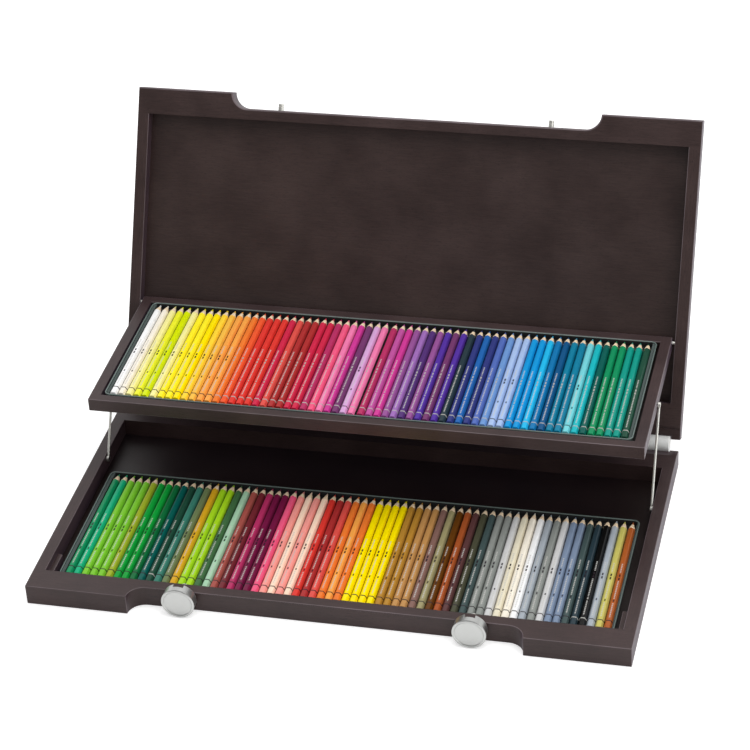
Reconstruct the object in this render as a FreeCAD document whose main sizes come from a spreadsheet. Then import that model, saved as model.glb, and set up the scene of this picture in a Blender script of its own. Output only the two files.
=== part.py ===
"""Pencil drawer box: a hinged wooden case with a tin of pencils in its base and one in a lifting tray.

Millimetres. The origin is the centre of the base's underside, +X is right, +Y is the hinge side and
+Z is up. The case is modelled open, as it stands on a table: pieces of the lid are drawn shut and
then turned about the hinge axis, and the tray is drawn where the two link rods hold it.
"""
import FreeCAD, Part
import Sketcher
import os
import re

from FreeCAD import Placement, Rotation, Vector

doc = FreeCAD.newDocument("pencil_drawer_box")
sheet = doc.addObject("Spreadsheet::Sheet", "sizes")

# Sizes that can be set by themselves
SIZES = {
    # Case
    "case_width": 620,
    "case_depth": 340,
    "base_height": 22.5,
    "lid_height": 18,
    "side_wall": 12.7,
    "front_rail": 28.6,
    "rear_rail": 39,
    "floor_thickness": 3.5,
    "panel_thickness": 4,
    "rabbet_depth": 5,
    "bevel_depth": 15.2,
    "bevel_drop": 4.2,
    "closing_gap": 0.2,
    "open_angle": 117.7,
    "recess_end_inset": 107.2,
    "recess_depth": 17,
    # Fits
    "press_gap": 0.02,
    "running_gap": 0.06,
    "seat_gap": 0.1,
    "overrun": 1,
    # Hinges
    "hinge_behind": 4.7,
    "hinge_end_inset": 10.5,
    "outer_knuckle": 26,
    "middle_knuckle": 28,
    "knuckle_gap": 0.2,
    "barrel_radius": 8.7,
    "barrel_clearance": 0.4,
    "hinge_pin_radius": 3,
    "leaf_thickness": 2,
    "leaf_reach": 16.5,
    "leaf_tongue": 4,
    "screw_radius": 1.6,
    "screw_length": 14,
    "screw_head_radius": 3,
    "screw_head_height": 1.6,
    "screw_below_rim": 12.8,
    "screw_spacing": 29,
    # Lifting tray
    "tray_front_gap": 5.4,
    "tray_height": 14.5,
    "tray_side": 11.2,
    "tray_front": 10.5,
    "tray_rear": 11.2,
    "tray_floor": 3,
    "tray_floor_lift": 1.8,
    "tray_groove": 3,
    "tray_pivot_rise": 3,
    "tray_pivot_below_top": 5,
    "tray_pivot_from_rear": 3.5,
    "tray_pin_radius": 1.75,
    "pin_depth_in_wall": 7,
    "pin_depth_in_rail": 6,
    # Link rods
    "rod_foot_from_hinge": 109.7,
    "rod_foot_below_rim": 5.5,
    "rod_radius": 1.25,
    "rod_eye_radius": 3.2,
    "rod_eye_width": 2.55,
    "rod_pin_radius": 1.5,
    "rod_wall_gap": 0.4,
    "rod_tray_gap": 0.35,
    "pin_end_gap": 0.2,
    # Rest blocks
    "block_width": 5.8,
    "block_length": 36,
    # Knobs and latch pins
    "knob_from_recess_end": 53.8,
    "knob_below_rim": 4.7,
    "knob_radius": 17,
    "knob_thickness": 11.3,
    "knob_gap": 4,
    "knob_cup_depth": 4.5,
    "knob_skirt": 2.4,
    "knob_lip": 0.7,
    "knob_lip_width": 2,
    "knob_lip_slope": 0.4,
    "knob_edge": 0.5,
    "knob_boss_radius": 6,
    "notch_width": 10.5,
    "notch_depth": 4.3,
    "spindle_radius": 2.5,
    "spindle_end": 1.8,
    "bushing_wall": 1,
    "bushing_flange_radius": 6.5,
    "bushing_flange": 1.2,
    "ring_radius": 4.5,
    "ring_thickness": 1.2,
    "latch_pin_radius": 3,
    "latch_pin_reach": 7.5,
    "latch_pin_seat": 8,
    "latch_rise": 6,
    # Tins
    "tin_end_room": 5.5,
    "tin_height": 10.5,
    "tin_sheet": 0.5,
    "tin_bead": 1.2,
    "tin_bead_height": 1.6,
    "tin_corner": 5.3,
    "lower_tin_side_gap": 10.3,
    "lower_tin_from_rail": 6.4,
    "upper_tin_side_gap": 2.8,
    "upper_tin_front_gap": 0.7,
    "upper_tin_rear_gap": 0.6,
    "liner_thickness": 3.5,
    "liner_gap": 0.3,
    # Pencils
    "pencil_flats": 7.3,
    "pencil_length": 177.5,
    "pencil_side_gap": 0.14,
    "pencil_cone": 15,
    "pencil_point": 0.35,
    "pencil_end_gap": 0.4,
    "row_end_gap": 1.36,
    "upper_row_gap": 1.6,
}

# Sizes and places worked out from the ones above
DERIVED = {
    "half_width": "case_width / 2",
    "half_depth": "case_depth / 2",
    "inner_half": "half_width - side_wall",
    "inner_front": "-half_depth + front_rail",
    "inner_rear": "half_depth - rear_rail",
    "recess_face": "-half_depth + recess_depth",
    "recess_half_length": "half_width - recess_end_inset",
    "recess_straight": "recess_half_length - recess_depth",
    "lid_rim": "base_height + closing_gap",
    "hinge_y": "half_depth + hinge_behind",
    "hinge_z": "base_height + closing_gap / 2",
    "hinge_length": "2 * outer_knuckle + middle_knuckle",
    "hinge_centre": "half_width - hinge_end_inset - hinge_length / 2",
    "leaf_top": "barrel_radius + barrel_clearance",
    "tin_depth": "pencil_length + tin_end_room",
    "tin_wall": "tin_bead + tin_sheet",
    "rod_outer": "inner_half - rod_wall_gap",
    "rod_inner": "rod_outer - rod_eye_width",
    "tray_half": "rod_inner - rod_tray_gap",
    "tray_room": "upper_tin_front_gap + tin_depth + upper_tin_rear_gap",
    "tray_depth": "tray_front + tray_room + tray_rear",
    "tray_pivot_shut_y": "inner_front + tray_front_gap + tray_depth - tray_pivot_from_rear",
    "tray_arm": "hinge_y - tray_pivot_shut_y",
    "tray_rise": "lid_rim + tray_pivot_rise - hinge_z",
    "arm_y": "tray_rise * sin(open_angle) - tray_arm * cos(open_angle)",
    "arm_z": "tray_arm * sin(open_angle) + tray_rise * cos(open_angle)",
    "tray_pivot_y": "hinge_y + arm_y",
    "tray_pivot_z": "hinge_z + arm_z",
    "tray_top": "tray_pivot_z + tray_pivot_below_top",
    "tray_bottom": "tray_top - tray_height",
    "tray_back": "tray_pivot_y + tray_pivot_from_rear",
    "tray_face": "tray_back - tray_depth",
    "tray_shut_bottom": "lid_rim + tray_pivot_rise + tray_pivot_below_top - tray_height",
    "tray_floor_top": "tray_bottom + tray_floor_lift + tray_floor",
    "rod_length": "sqrt(tray_arm * tray_arm + tray_rise * tray_rise)",
    "rod_lean": "atan2(arm_y; arm_z)",
    "rod_foot_y": "hinge_y - rod_foot_from_hinge",
    "rod_foot_height": "base_height - rod_foot_below_rim",
    "rod_head_y": "rod_foot_y + arm_y",
    "rod_head_z": "rod_foot_height + arm_z",
    "knob_half_spacing": "recess_half_length - knob_from_recess_end",
    "knob_axis_height": "base_height - knob_below_rim",
    "knob_rear": "recess_face - knob_gap",
    "knob_front": "knob_rear - knob_thickness",
    "cup_floor": "knob_rear - knob_cup_depth",
    "cup_radius": "knob_radius - knob_skirt",
    "bushing_radius": "spindle_radius + running_gap + bushing_wall",
    "boss_rear": "recess_face - bushing_flange - seat_gap",
    "latch_pin_front": "recess_face - latch_pin_reach",
    "lower_tin_half": "inner_half - lower_tin_side_gap",
    "lower_tin_face": "inner_front + lower_tin_from_rail",
    "lower_tin_back": "lower_tin_face + tin_depth",
    "upper_tin_half": "tray_half - tray_side - upper_tin_side_gap",
    "upper_tin_back": "tray_back - tray_rear - upper_tin_rear_gap",
    "upper_tin_face": "upper_tin_back - tin_depth",
    "pencil_corner_radius": "pencil_flats / sqrt(3)",
    "pencil_pitch": "2 * pencil_corner_radius + pencil_side_gap",
    "pencil_lift": "tin_sheet + liner_thickness + pencil_flats / 2",
    "lower_row_end": "lower_tin_half - tin_wall - row_end_gap",
    "upper_row_end": "upper_tin_half - tin_wall - row_end_gap",
}

for row, (name, value) in enumerate(SIZES.items(), start=1):
    sheet.set(f"A{row}", name)
    sheet.set(f"B{row}", str(value))
    sheet.setAlias(f"B{row}", name)
for row, (name, formula) in enumerate(DERIVED.items(), start=1):
    sheet.set(f"D{row}", name)
    sheet.set(f"E{row}", "=" + formula)
    sheet.setAlias(f"E{row}", name)
doc.recompute()

NAMES = set(SIZES) | set(DERIVED)
SIDES = ("left", "right")
SCREW_PLACES = ("-screw_spacing", "0", "screw_spacing")
nodes = []


def size(name):
    """Return the value of a named size as a plain number."""
    value = sheet.get(name)
    return float(getattr(value, "Value", value))


def bound(expression):
    """Return an expression in which each size name points at the sheet."""
    def point(word):
        return "sizes." + word.group() if word.group() in NAMES else word.group()
    return re.sub(r"[a-z_][a-z_0-9]*", point, expression)


def bind(thing, **expressions):
    """Bind properties of an object to expressions of the named sizes."""
    for path, expression in expressions.items():
        thing.setExpression(path, bound(expression))


def locate(thing, x, y, z):
    """Bind the base of an object's placement to three expressions."""
    for axis, expression in zip("xyz", (x, y, z)):
        thing.setExpression(f"Placement.Base.{axis}", bound(expression))


def keep(thing, label):
    """List an object as a sub-part under its own label."""
    thing.Label = label
    nodes.append(thing)
    return thing


# Solids between named places

def block(name, x, y, z):
    """Add a box; x, y and z are pairs of expressions, the low one first."""
    made = doc.addObject("Part::Box", name)
    bind(made, Length=f"({x[1]}) - ({x[0]})", Width=f"({y[1]}) - ({y[0]})",
         Height=f"({z[1]}) - ({z[0]})")
    locate(made, x[0], y[0], z[0])
    return made


def disc(name, radius, along, span, across):
    """Add a cylinder along an axis, between two places on it, centred on the two other coordinates."""
    made = doc.addObject("Part::Cylinder", name)
    bind(made, Radius=radius, Height=f"({span[1]}) - ({span[0]})")
    if along == "x":
        made.Placement = Placement(Vector(), Rotation(Vector(0, 1, 0), 90))
        locate(made, span[0], across[0], across[1])
    elif along == "y":
        made.Placement = Placement(Vector(), Rotation(Vector(1, 0, 0), -90))
        locate(made, across[0], span[0], across[1])
    else:
        locate(made, across[0], across[1], span[0])
    return made


def fused(name, shapes):
    """Join several solids into one."""
    made = doc.addObject("Part::MultiFuse", name)
    made.Shapes = shapes
    made.Refine = True
    return made


def cut(name, base, tools):
    """Take several solids away from one."""
    made = doc.addObject("Part::Cut", name)
    made.Base = base
    made.Tool = tools[0] if len(tools) == 1 else fused(name + "_tools", tools)
    made.Refine = True
    return made


def group(name, shapes):
    """Keep several separate solids together as one sub-part."""
    made = doc.addObject("Part::Compound", name)
    made.Links = shapes
    return made


def mirrored(side, expression):
    """Return an x expression for the left or the right side."""
    return f"-({expression})" if side == "left" else expression


def span_x(side, inner, outer):
    """Return the low and high x of a piece between two distances from the middle."""
    if side == "left":
        return (f"-({outer})", f"-({inner})")
    return (inner, outer)


def rounded_block(name, half, y, z, radius):
    """Add a box with rounded upright edges, centred on x."""
    shapes = [
        block(name + "_long", (f"-({half})", half), (f"{y[0]} + {radius}", f"{y[1]} - ({radius})"), z),
        block(name + "_deep", (f"-({half}) + {radius}", f"{half} - ({radius})"), y, z),
    ]
    for side in SIDES:
        for place, corner_y in (("front", f"{y[0]} + {radius}"), ("rear", f"{y[1]} - ({radius})")):
            corner_x = mirrored(side, f"{half} - ({radius})")
            shapes.append(disc(f"{name}_{side}_{place}", radius, "z", z, (corner_x, corner_y)))
    return fused(name, shapes)


# Bodies drawn from sketches

def plane_of(body, role):
    """Return one of a body's own origin planes."""
    return next(plane for plane in body.Origin.OriginFeatures if plane.Role == role)


def outline(body, name, role, corners):
    """Add a closed sketch whose corners are pairs of expressions."""
    sketch = body.newObject("Sketcher::SketchObject", name)
    sketch.AttachmentSupport = [(plane_of(body, role), "")]
    sketch.MapMode = "FlatFace"
    probe = [tuple(worked_out(part) for part in corner) for corner in corners]
    for start, end in zip(probe, probe[1:] + probe[:1]):
        sketch.addGeometry(Part.LineSegment(Vector(*start, 0), Vector(*end, 0)))
    count = len(corners)
    for index in range(count):
        following = (index + 1) % count
        sketch.addConstraint(Sketcher.Constraint("Coincident", index, 2, following, 1))
    for index, (x, y) in enumerate(corners):
        for kind, expression, value in (("DistanceX", x, probe[index][0]),
                                        ("DistanceY", y, probe[index][1])):
            number = sketch.addConstraint(Sketcher.Constraint(kind, -1, 1, index, 1, value))
            sketch.setExpression(f"Constraints[{number}]", bound(expression))
    return sketch


def worked_out(expression):
    """Return the value of an expression of the named sizes."""
    value = sheet.evalExpression(bound(expression).replace("sizes.", ""))
    return float(getattr(value, "Value", value))


def case_boards(half, rim, sign, height, thickness):
    """Make the four boards and the panel of the base or the lid, drawn shut.

    half is base or lid, rim the height of its rim, and sign says on which side of the rim its boards
    lie: -1 below, as in the base, and 1 above, as in the lid.
    """
    def from_rim(near, far):
        """Return the low and high z between two distances from the rim."""
        if sign < 0:
            return (f"{rim} - ({far})", f"{rim} - ({near})")
        return (f"{rim} + {near}", f"{rim} + {far}")

    full = from_rim("0", height)
    past = from_rim("-overrun", f"{height} + overrun")
    panel = from_rim(f"{height} - {thickness}", height)
    rabbet = from_rim(f"{height} - {thickness}", f"{height} + overrun")
    panel_half = "inner_half + rabbet_depth"
    panel_y = ("inner_front - rabbet_depth", "inner_rear + rabbet_depth")

    recess = [block(f"{half}_recess", ("-recess_straight", "recess_straight"),
                    ("-half_depth - overrun", "recess_face"), past)]
    for side in SIDES:
        recess.append(disc(f"{half}_recess_{side}", "recess_depth", "z", past,
                           (mirrored(side, "recess_straight"), "-half_depth")))
    front = block(f"{half}_front_board", ("-half_width", "half_width"), ("-half_depth", "inner_front"), full)
    front_rabbet = block(f"{half}_front_rabbet", (f"-({panel_half})", panel_half),
                         (panel_y[0], "inner_front + overrun"), rabbet)
    front_tools = recess + [front_rabbet]
    for side in SIDES:
        across = (mirrored(side, "knob_half_spacing"),
                  "knob_axis_height" if half == "base" else "lid_rim + latch_rise")
        if half == "base":
            front_tools.append(disc(f"bushing_bore_{side}", "bushing_radius + press_gap", "y",
                                    ("recess_face - overrun", "inner_front + overrun"), across))
        else:
            front_tools.append(disc(f"latch_bore_{side}", "latch_pin_radius + press_gap", "y",
                                    ("recess_face - overrun", "recess_face + latch_pin_seat"), across))
    keep(cut(f"{half}_front_rail", front, front_tools), f"{half}_front_rail")

    # The rear rail's cross-section has the bevel, and the rail is drawn along x
    body = doc.addObject("PartDesign::Body", f"{half}_rear_board")
    edge = f"{rim} + bevel_drop" if sign > 0 else f"{rim} - bevel_drop"
    outer = f"{rim} + {height}" if sign > 0 else f"{rim} - {height}"
    sketch = outline(body, f"{half}_rear_outline", "YZ_Plane",
                     [("inner_rear", rim), ("half_depth - bevel_depth", rim),
                      ("half_depth", edge), ("half_depth", outer), ("inner_rear", outer)])
    pad = body.newObject("PartDesign::Pad", f"{half}_rear_pad")
    pad.Profile = sketch
    pad.SideType = "Symmetric"
    bind(pad, Length="case_width")
    rear_tools = [block(f"{half}_rear_rabbet", (f"-({panel_half})", panel_half),
                        ("inner_rear - overrun", panel_y[1]), rabbet)]
    for side in SIDES:
        centre = mirrored(side, "hinge_centre")
        rear_tools.append(disc(f"{half}_scoop_{side}", "barrel_radius + barrel_clearance", "x",
                               (f"{centre} - hinge_length / 2 - overrun",
                                f"{centre} + hinge_length / 2 + overrun"), ("hinge_y", "hinge_z")))
        rear_tools += screw_row(f"{half}_pilot_{side}", centre, rim, sign, pilot=True)
    keep(cut(f"{half}_rear_rail", body, rear_tools), f"{half}_rear_rail")

    for side in SIDES:
        board = block(f"{half}_{side}_board", span_x(side, "inner_half", "half_width"),
                      ("inner_front", "inner_rear"), full)
        tools = [block(f"{half}_{side}_rabbet", span_x(side, "inner_half - overrun", panel_half),
                       ("inner_front - overrun", "inner_rear + overrun"), rabbet)]
        bore = span_x(side, "inner_half - overrun", "inner_half + pin_depth_in_wall")
        if half == "base":
            tools.append(disc(f"rod_foot_bore_{side}", "rod_pin_radius + press_gap", "x", bore,
                              ("rod_foot_y", "rod_foot_height")))
        else:
            tools.append(disc(f"tray_pin_bore_{side}", "tray_pin_radius + press_gap", "x", bore,
                              ("hinge_y - tray_arm", "hinge_z + tray_rise")))
        keep(cut(f"{half}_{side}_wall", board, tools), f"{half}_{side}_wall")

    # The panel is a group of one piece, so that the group can turn open
    label = "base_floor" if half == "base" else "lid_panel"
    sheet_of_wood = block(f"{half}_panel_board", (f"-({panel_half})", panel_half), panel_y, panel)
    keep(group(label, [sheet_of_wood]), label)


def screw_row(name, centre, rim, sign, pilot=False):
    """Make the three screws of one leaf, or the pilot holes that they turn into."""
    z = f"{rim} + screw_below_rim" if sign > 0 else f"{rim} - screw_below_rim"
    made = []
    for index, offset in enumerate(SCREW_PLACES):
        across = (f"{centre} + {offset}", z)
        if pilot:
            made.append(disc(f"{name}_{index}", "screw_radius + press_gap", "y",
                             ("half_depth + leaf_thickness - screw_length - seat_gap",
                              "half_depth + overrun"), across))
            continue
        shank = disc(f"{name}_shank_{index}", "screw_radius", "y",
                     ("half_depth + leaf_thickness - screw_length",
                      "half_depth + leaf_thickness + screw_head_height"), across)
        head = disc(f"{name}_head_{index}", "screw_head_radius", "y",
                    ("half_depth + leaf_thickness",
                     "half_depth + leaf_thickness + screw_head_height"), across)
        made.append(fused(f"{name}_{index}", [shank, head]))
    return made


def hinge(side):
    """Make the two leaves and the pin of one three-knuckle hinge, drawn shut."""
    centre = mirrored(side, "hinge_centre")
    ends = (f"{centre} - hinge_length / 2", f"{centre} + hinge_length / 2")
    middle = (f"{centre} - middle_knuckle / 2", f"{centre} + middle_knuckle / 2")
    axis = ("hinge_y", "hinge_z")
    plate_y = ("half_depth", "half_depth + leaf_thickness")
    bore = (f"{ends[0]} - overrun", f"{ends[1]} + overrun")
    spans = {
        "base": [(ends[0], f"{middle[0]} - knuckle_gap / 2"), (f"{middle[1]} + knuckle_gap / 2", ends[1])],
        "lid": [(f"{middle[0]} + knuckle_gap / 2", f"{middle[1]} - knuckle_gap / 2")],
    }
    for half, rim, sign in (("base", "base_height", -1), ("lid", "lid_rim", 1)):
        name = f"{side}_hinge_{half}_leaf"
        mark = "+" if sign > 0 else "-"
        reach = [f"{rim} {mark} leaf_top", f"{rim} {mark} leaf_reach"]
        tongue = [f"{rim} {mark} (leaf_top - leaf_tongue)", f"{rim} {mark} leaf_top"]
        if sign < 0:
            reach.reverse()
            tongue.reverse()
        shapes = [block(f"{name}_plate", ends, plate_y, reach)]
        for index, span in enumerate(spans[half]):
            shapes.append(disc(f"{name}_knuckle_{index}", "barrel_radius", "x", span, axis))
            shapes.append(block(f"{name}_tongue_{index}", span, plate_y, tongue))
        tools = [disc(f"{name}_bore", "hinge_pin_radius + running_gap", "x", bore, axis)]
        z = f"{rim} {mark} screw_below_rim"
        for index, offset in enumerate(SCREW_PLACES):
            tools.append(disc(f"{name}_hole_{index}", "screw_radius + press_gap", "y",
                              ("half_depth - overrun", "half_depth + leaf_thickness + overrun"),
                              (f"{centre} + {offset}", z)))
        keep(cut(name, fused(f"{name}_blank", shapes), tools), name)
    keep(disc(f"{side}_hinge_pin", "hinge_pin_radius", "x", ends, axis), f"{side}_hinge_pin")


def hinge_screws():
    """Make the screws of all leaves, one group in the base and one in the lid."""
    for half, rim, sign in (("base", "base_height", -1), ("lid", "lid_rim", 1)):
        screws = []
        for side in SIDES:
            screws += screw_row(f"{half}_screw_{side}", mirrored(side, "hinge_centre"), rim, sign)
        keep(group(f"{half}_hinge_screws", screws), f"{half}_hinge_screws")


def side_pins(name, radius, low, high, y, z):
    """Make a pair of cross pins, one at each side of the case."""
    pins = [disc(f"{name}_{side}", radius, "x", span_x(side, low, high), (y, z)) for side in SIDES]
    return keep(group(name, pins), name)


def rest_blocks():
    """Make the two blocks that carry the front of the tray when the case is shut."""
    blocks = [block(f"rest_block_{side}", span_x(side, "inner_half - block_width", "inner_half"),
                    ("inner_front", "inner_front + block_length"),
                    ("floor_thickness", "tray_shut_bottom - seat_gap")) for side in SIDES]
    keep(group("rest_blocks", blocks), "rest_blocks")


def tray_boards():
    """Make the four rails and the floor of the lifting tray, drawn raised."""
    full = ("tray_bottom", "tray_top")
    groove_z = ("tray_bottom + tray_floor_lift", "tray_floor_top")
    inside = "tray_half - tray_side"
    front_inside = "tray_face + tray_front"
    rear_inside = "tray_back - tray_rear"
    groove = block("tray_groove_cut", (f"-({inside}) - tray_groove", f"{inside} + tray_groove"),
                   (f"{front_inside} - tray_groove", f"{rear_inside} + tray_groove"), groove_z)
    for side in SIDES:
        board = block(f"tray_{side}_board", span_x(side, inside, "tray_half"), ("tray_face", "tray_back"), full)
        tools = [groove,
                 disc(f"tray_pivot_bore_{side}", "tray_pin_radius + running_gap", "x",
                      span_x(side, "tray_half - pin_depth_in_rail - overrun", "tray_half + overrun"),
                      ("tray_pivot_y", "tray_pivot_z")),
                 disc(f"rod_head_bore_{side}", "rod_pin_radius + press_gap", "x",
                      span_x(side, "tray_half - pin_depth_in_rail", "tray_half + overrun"),
                      ("rod_head_y", "rod_head_z"))]
        keep(cut(f"tray_{side}_rail", board, tools), f"tray_{side}_rail")
    rails = (("front", ("tray_face", front_inside)), ("rear", (rear_inside, "tray_back")))
    for place, span in rails:
        board = block(f"tray_{place}_board", (f"-({inside})", inside), span, full)
        keep(cut(f"tray_{place}_rail", board, [groove]), f"tray_{place}_rail")
    keep(block("tray_floor", (f"-({inside}) - tray_groove", f"{inside} + tray_groove"),
               (f"{front_inside} - tray_groove", f"{rear_inside} + tray_groove"), groove_z), "tray_floor")


def link_rod(side):
    """Make one rod with an eye at each end, upright at first, then leaned about its foot."""
    centre = mirrored(side, "(rod_inner + rod_outer) / 2")
    half_eye = "(rod_outer - rod_inner) / 2"
    eye = (f"-({half_eye})", half_eye)
    past = (f"-({half_eye}) - overrun", f"{half_eye} + overrun")
    name = f"{side}_rod"
    bar = disc(f"{name}_bar", "rod_radius", "z", ("0", "rod_length"), ("0", "0"))
    shapes = [bar]
    tools = []
    for end, height in (("foot", "0"), ("head", "rod_length")):
        shapes.append(disc(f"{name}_{end}_eye", "rod_eye_radius", "x", eye, ("0", height)))
        tools.append(disc(f"{name}_{end}_hole", "rod_pin_radius + running_gap", "x", past, ("0", height)))
    made = keep(cut(name, fused(f"{name}_blank", shapes), tools), name)
    made.Placement = Placement(Vector(), Rotation(Vector(1, 0, 0), -size("rod_lean")))
    locate(made, centre, "rod_foot_y", "rod_foot_height")


def revolved(name, corners):
    """Add a body turned about the y axis; the corners are pairs of y and radius."""
    body = doc.addObject("PartDesign::Body", name)
    sketch = outline(body, f"{name}_profile", "YZ_Plane", corners)
    turned = body.newObject("PartDesign::Revolution", f"{name}_turned")
    turned.Profile = sketch
    turned.ReferenceAxis = (sketch, ["H_Axis"])
    turned.Angle = 360
    body.Tip = turned
    return body


def knob(side):
    """Make one knob with the notch for its latch pin, its spindle and its retaining ring."""
    x = mirrored(side, "knob_half_spacing")
    dish = "knob_front + knob_lip"
    body = revolved(f"{side}_knob", [
        (dish, "0"),
        (dish, "knob_radius - knob_lip_width - knob_lip_slope"),
        ("knob_front", "knob_radius - knob_lip_width"),
        ("knob_front", "knob_radius - knob_edge"),
        ("knob_front + knob_edge", "knob_radius"),
        ("knob_rear", "knob_radius"),
        ("knob_rear", "cup_radius"),
        ("cup_floor", "cup_radius"),
        ("cup_floor", "knob_boss_radius"),
        ("boss_rear", "knob_boss_radius"),
        ("boss_rear", "spindle_radius + press_gap"),
        ("cup_floor", "spindle_radius + press_gap"),
        ("cup_floor", "0"),
    ])
    doc.recompute()
    before = body.Shape.Volume
    notch = outline(body, f"{side}_knob_notch_outline", "XZ_Plane", [
        ("-notch_width / 2", "cup_radius - 2 * knob_skirt"),
        ("notch_width / 2", "cup_radius - 2 * knob_skirt"),
        ("notch_width / 2", "knob_radius + overrun"),
        ("-notch_width / 2", "knob_radius + overrun"),
    ])
    notch.setExpression("AttachmentOffset.Base.z", bound("notch_depth - knob_rear"))
    pocket = body.newObject("PartDesign::Pocket", f"{side}_knob_notch")
    pocket.Profile = notch
    bind(pocket, Length="notch_depth + overrun")
    body.Tip = pocket
    doc.recompute()
    if body.Shape.Volume >= before:
        raise ValueError("the notch cuts nothing")
    locate(body, x, "0", "knob_axis_height")
    keep(body, f"{side}_knob")

    across = (x, "knob_axis_height")
    keep(disc(f"{side}_knob_spindle", "spindle_radius", "y",
              ("cup_floor", "inner_front + spindle_end"), across), f"{side}_knob_spindle")
    ring_span = ("inner_front + seat_gap", "inner_front + seat_gap + ring_thickness")
    blank = disc(f"{side}_ring_blank", "ring_radius", "y", ring_span, across)
    hole = disc(f"{side}_ring_hole", "spindle_radius + press_gap", "y",
                ("inner_front", "inner_front + spindle_end + overrun"), across)
    keep(cut(f"{side}_knob_ring", blank, [hole]), f"{side}_knob_ring")


def knob_bushings():
    """Make the two flanged bushings in which the knob spindles turn."""
    made = []
    for side in SIDES:
        across = (mirrored(side, "knob_half_spacing"), "knob_axis_height")
        sleeve = disc(f"sleeve_{side}", "bushing_radius", "y", ("recess_face", "inner_front"), across)
        flange = disc(f"flange_{side}", "bushing_flange_radius", "y",
                      ("recess_face - bushing_flange", "recess_face"), across)
        bore = disc(f"sleeve_bore_{side}", "spindle_radius + running_gap", "y",
                    ("recess_face - bushing_flange - overrun", "inner_front + overrun"), across)
        made.append(cut(f"bushing_{side}", fused(f"bushing_blank_{side}", [sleeve, flange]), [bore]))
    keep(group("knob_bushings", made), "knob_bushings")


def latch_pins():
    """Make the two pins of the lid that drop into the knobs."""
    pins = [disc(f"latch_pin_{side}", "latch_pin_radius", "y",
                 ("latch_pin_front", "recess_face + latch_pin_seat - seat_gap"),
                 (mirrored(side, "knob_half_spacing"), "lid_rim + latch_rise")) for side in SIDES]
    keep(group("latch_pins", pins), "latch_pins")


def tin(name, half, face, back, bottom):
    """Make one sheet metal tin with a rolled rim, and the soft liner on its floor."""
    wall_y = (f"{face} + tin_bead", f"{back} - tin_bead")
    inner_y = (f"{face} + tin_wall", f"{back} - tin_wall")
    top = f"{bottom} + tin_height"
    wall = rounded_block(f"{name}_wall", f"({half} - tin_bead)", wall_y, (bottom, top), "tin_corner")
    bead = rounded_block(f"{name}_bead", half, (face, back), (f"{top} - tin_bead_height", top),
                         "(tin_corner + tin_bead)")
    inside = rounded_block(f"{name}_inside", f"({half} - tin_wall)", inner_y,
                           (f"{bottom} + tin_sheet", f"{top} + overrun"), "(tin_corner - tin_sheet)")
    keep(cut(name, fused(f"{name}_blank", [wall, bead]), [inside]), name)
    liner_y = (f"{inner_y[0]} + liner_gap", f"{inner_y[1]} - liner_gap")
    liner = rounded_block(f"{name}_liner", f"({half} - tin_wall - liner_gap)", liner_y,
                          (f"{bottom} + tin_sheet", f"{bottom} + tin_sheet + liner_thickness"),
                          "(tin_corner - tin_sheet)")
    keep(liner, f"{name}_liner")


def master_pencil():
    """Make the hexagonal pencil that all rows repeat, its point along +y and its end at the origin."""
    hexagon = doc.addObject("Part::Prism", "pencil_hexagon")
    hexagon.Polygon = 6
    bind(hexagon, Circumradius="pencil_corner_radius", Height="pencil_length")
    hexagon.Placement = Placement(Vector(), Rotation(Vector(1, 0, 0), -90))
    barrel = disc("pencil_barrel", "pencil_corner_radius", "y", ("0", "pencil_length - pencil_cone"), ("0", "0"))
    point = doc.addObject("Part::Cone", "pencil_cone_cut")
    bind(point, Radius1="pencil_corner_radius", Radius2="pencil_point", Height="pencil_cone")
    point.Placement = Placement(Vector(), Rotation(Vector(1, 0, 0), -90))
    locate(point, "0", "pencil_length - pencil_cone", "0")
    made = doc.addObject("Part::MultiCommon", "pencil")
    made.Shapes = [hexagon, fused("pencil_envelope", [barrel, point])]
    doc.recompute()
    return made.Shape


# The share of a row's pencils that each colour group holds, from the left
LOWER_SHARES = {
    "green": 8, "dark_green": 9, "berry": 8, "coral": 9,
    "yellow": 8, "brown": 8, "grey": 8, "slate": 8,
}
UPPER_SHARES = {
    "lemon": 8, "orange": 8, "red": 8, "pink": 8,
    "purple": 8, "blue": 8, "cyan": 8, "teal": 8,
}
# The upper row parts a little short of its middle
GAP_SHARE = 0.49


def places_in_row(row_end, gap, centred):
    """Return the x of each pencil that fits between the ends of a row.

    The row lies in the middle, or against its right end, and gap is the one wider space in it.
    """
    pitch = size("pencil_pitch")
    corner = size("pencil_corner_radius")
    count = int((2 * row_end - gap + pitch - 2 * corner) / pitch)
    before_gap = int(count * GAP_SHARE) if gap else 0
    length = (count - 1) * pitch + gap
    first = -length / 2 if centred else row_end - corner - length
    return [first + index * pitch + (gap if index >= before_gap else 0) for index in range(count)]


def pencil_row(row, shares, shape, places, back, bottom):
    """Lay a pencil at each place of a row and keep each colour group as one sub-part."""
    y = back - size("tin_wall") - size("pencil_end_gap") - size("pencil_length")
    z = bottom + size("pencil_lift")
    whole = sum(shares.values())
    passed = 0
    for colour, share in shares.items():
        start = round(len(places) * passed / whole)
        passed += share
        end = round(len(places) * passed / whole)
        pencils = []
        for x in places[start:end]:
            laid = shape.copy()
            laid.translate(Vector(x, y, z))
            pencils.append(laid)
        made = doc.addObject("Part::Feature", f"{row}_pencils_{colour}")
        made.Shape = Part.makeCompound(pencils)
        made.Placement = Placement()
        keep(made, f"{row}_pencils_{colour}")


def turns_with_lid(label):
    """Say whether a sub-part belongs to the lid."""
    return label.startswith("lid_") or "_lid_" in label or label in ("latch_pins", "tray_pivot_pins")


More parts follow.
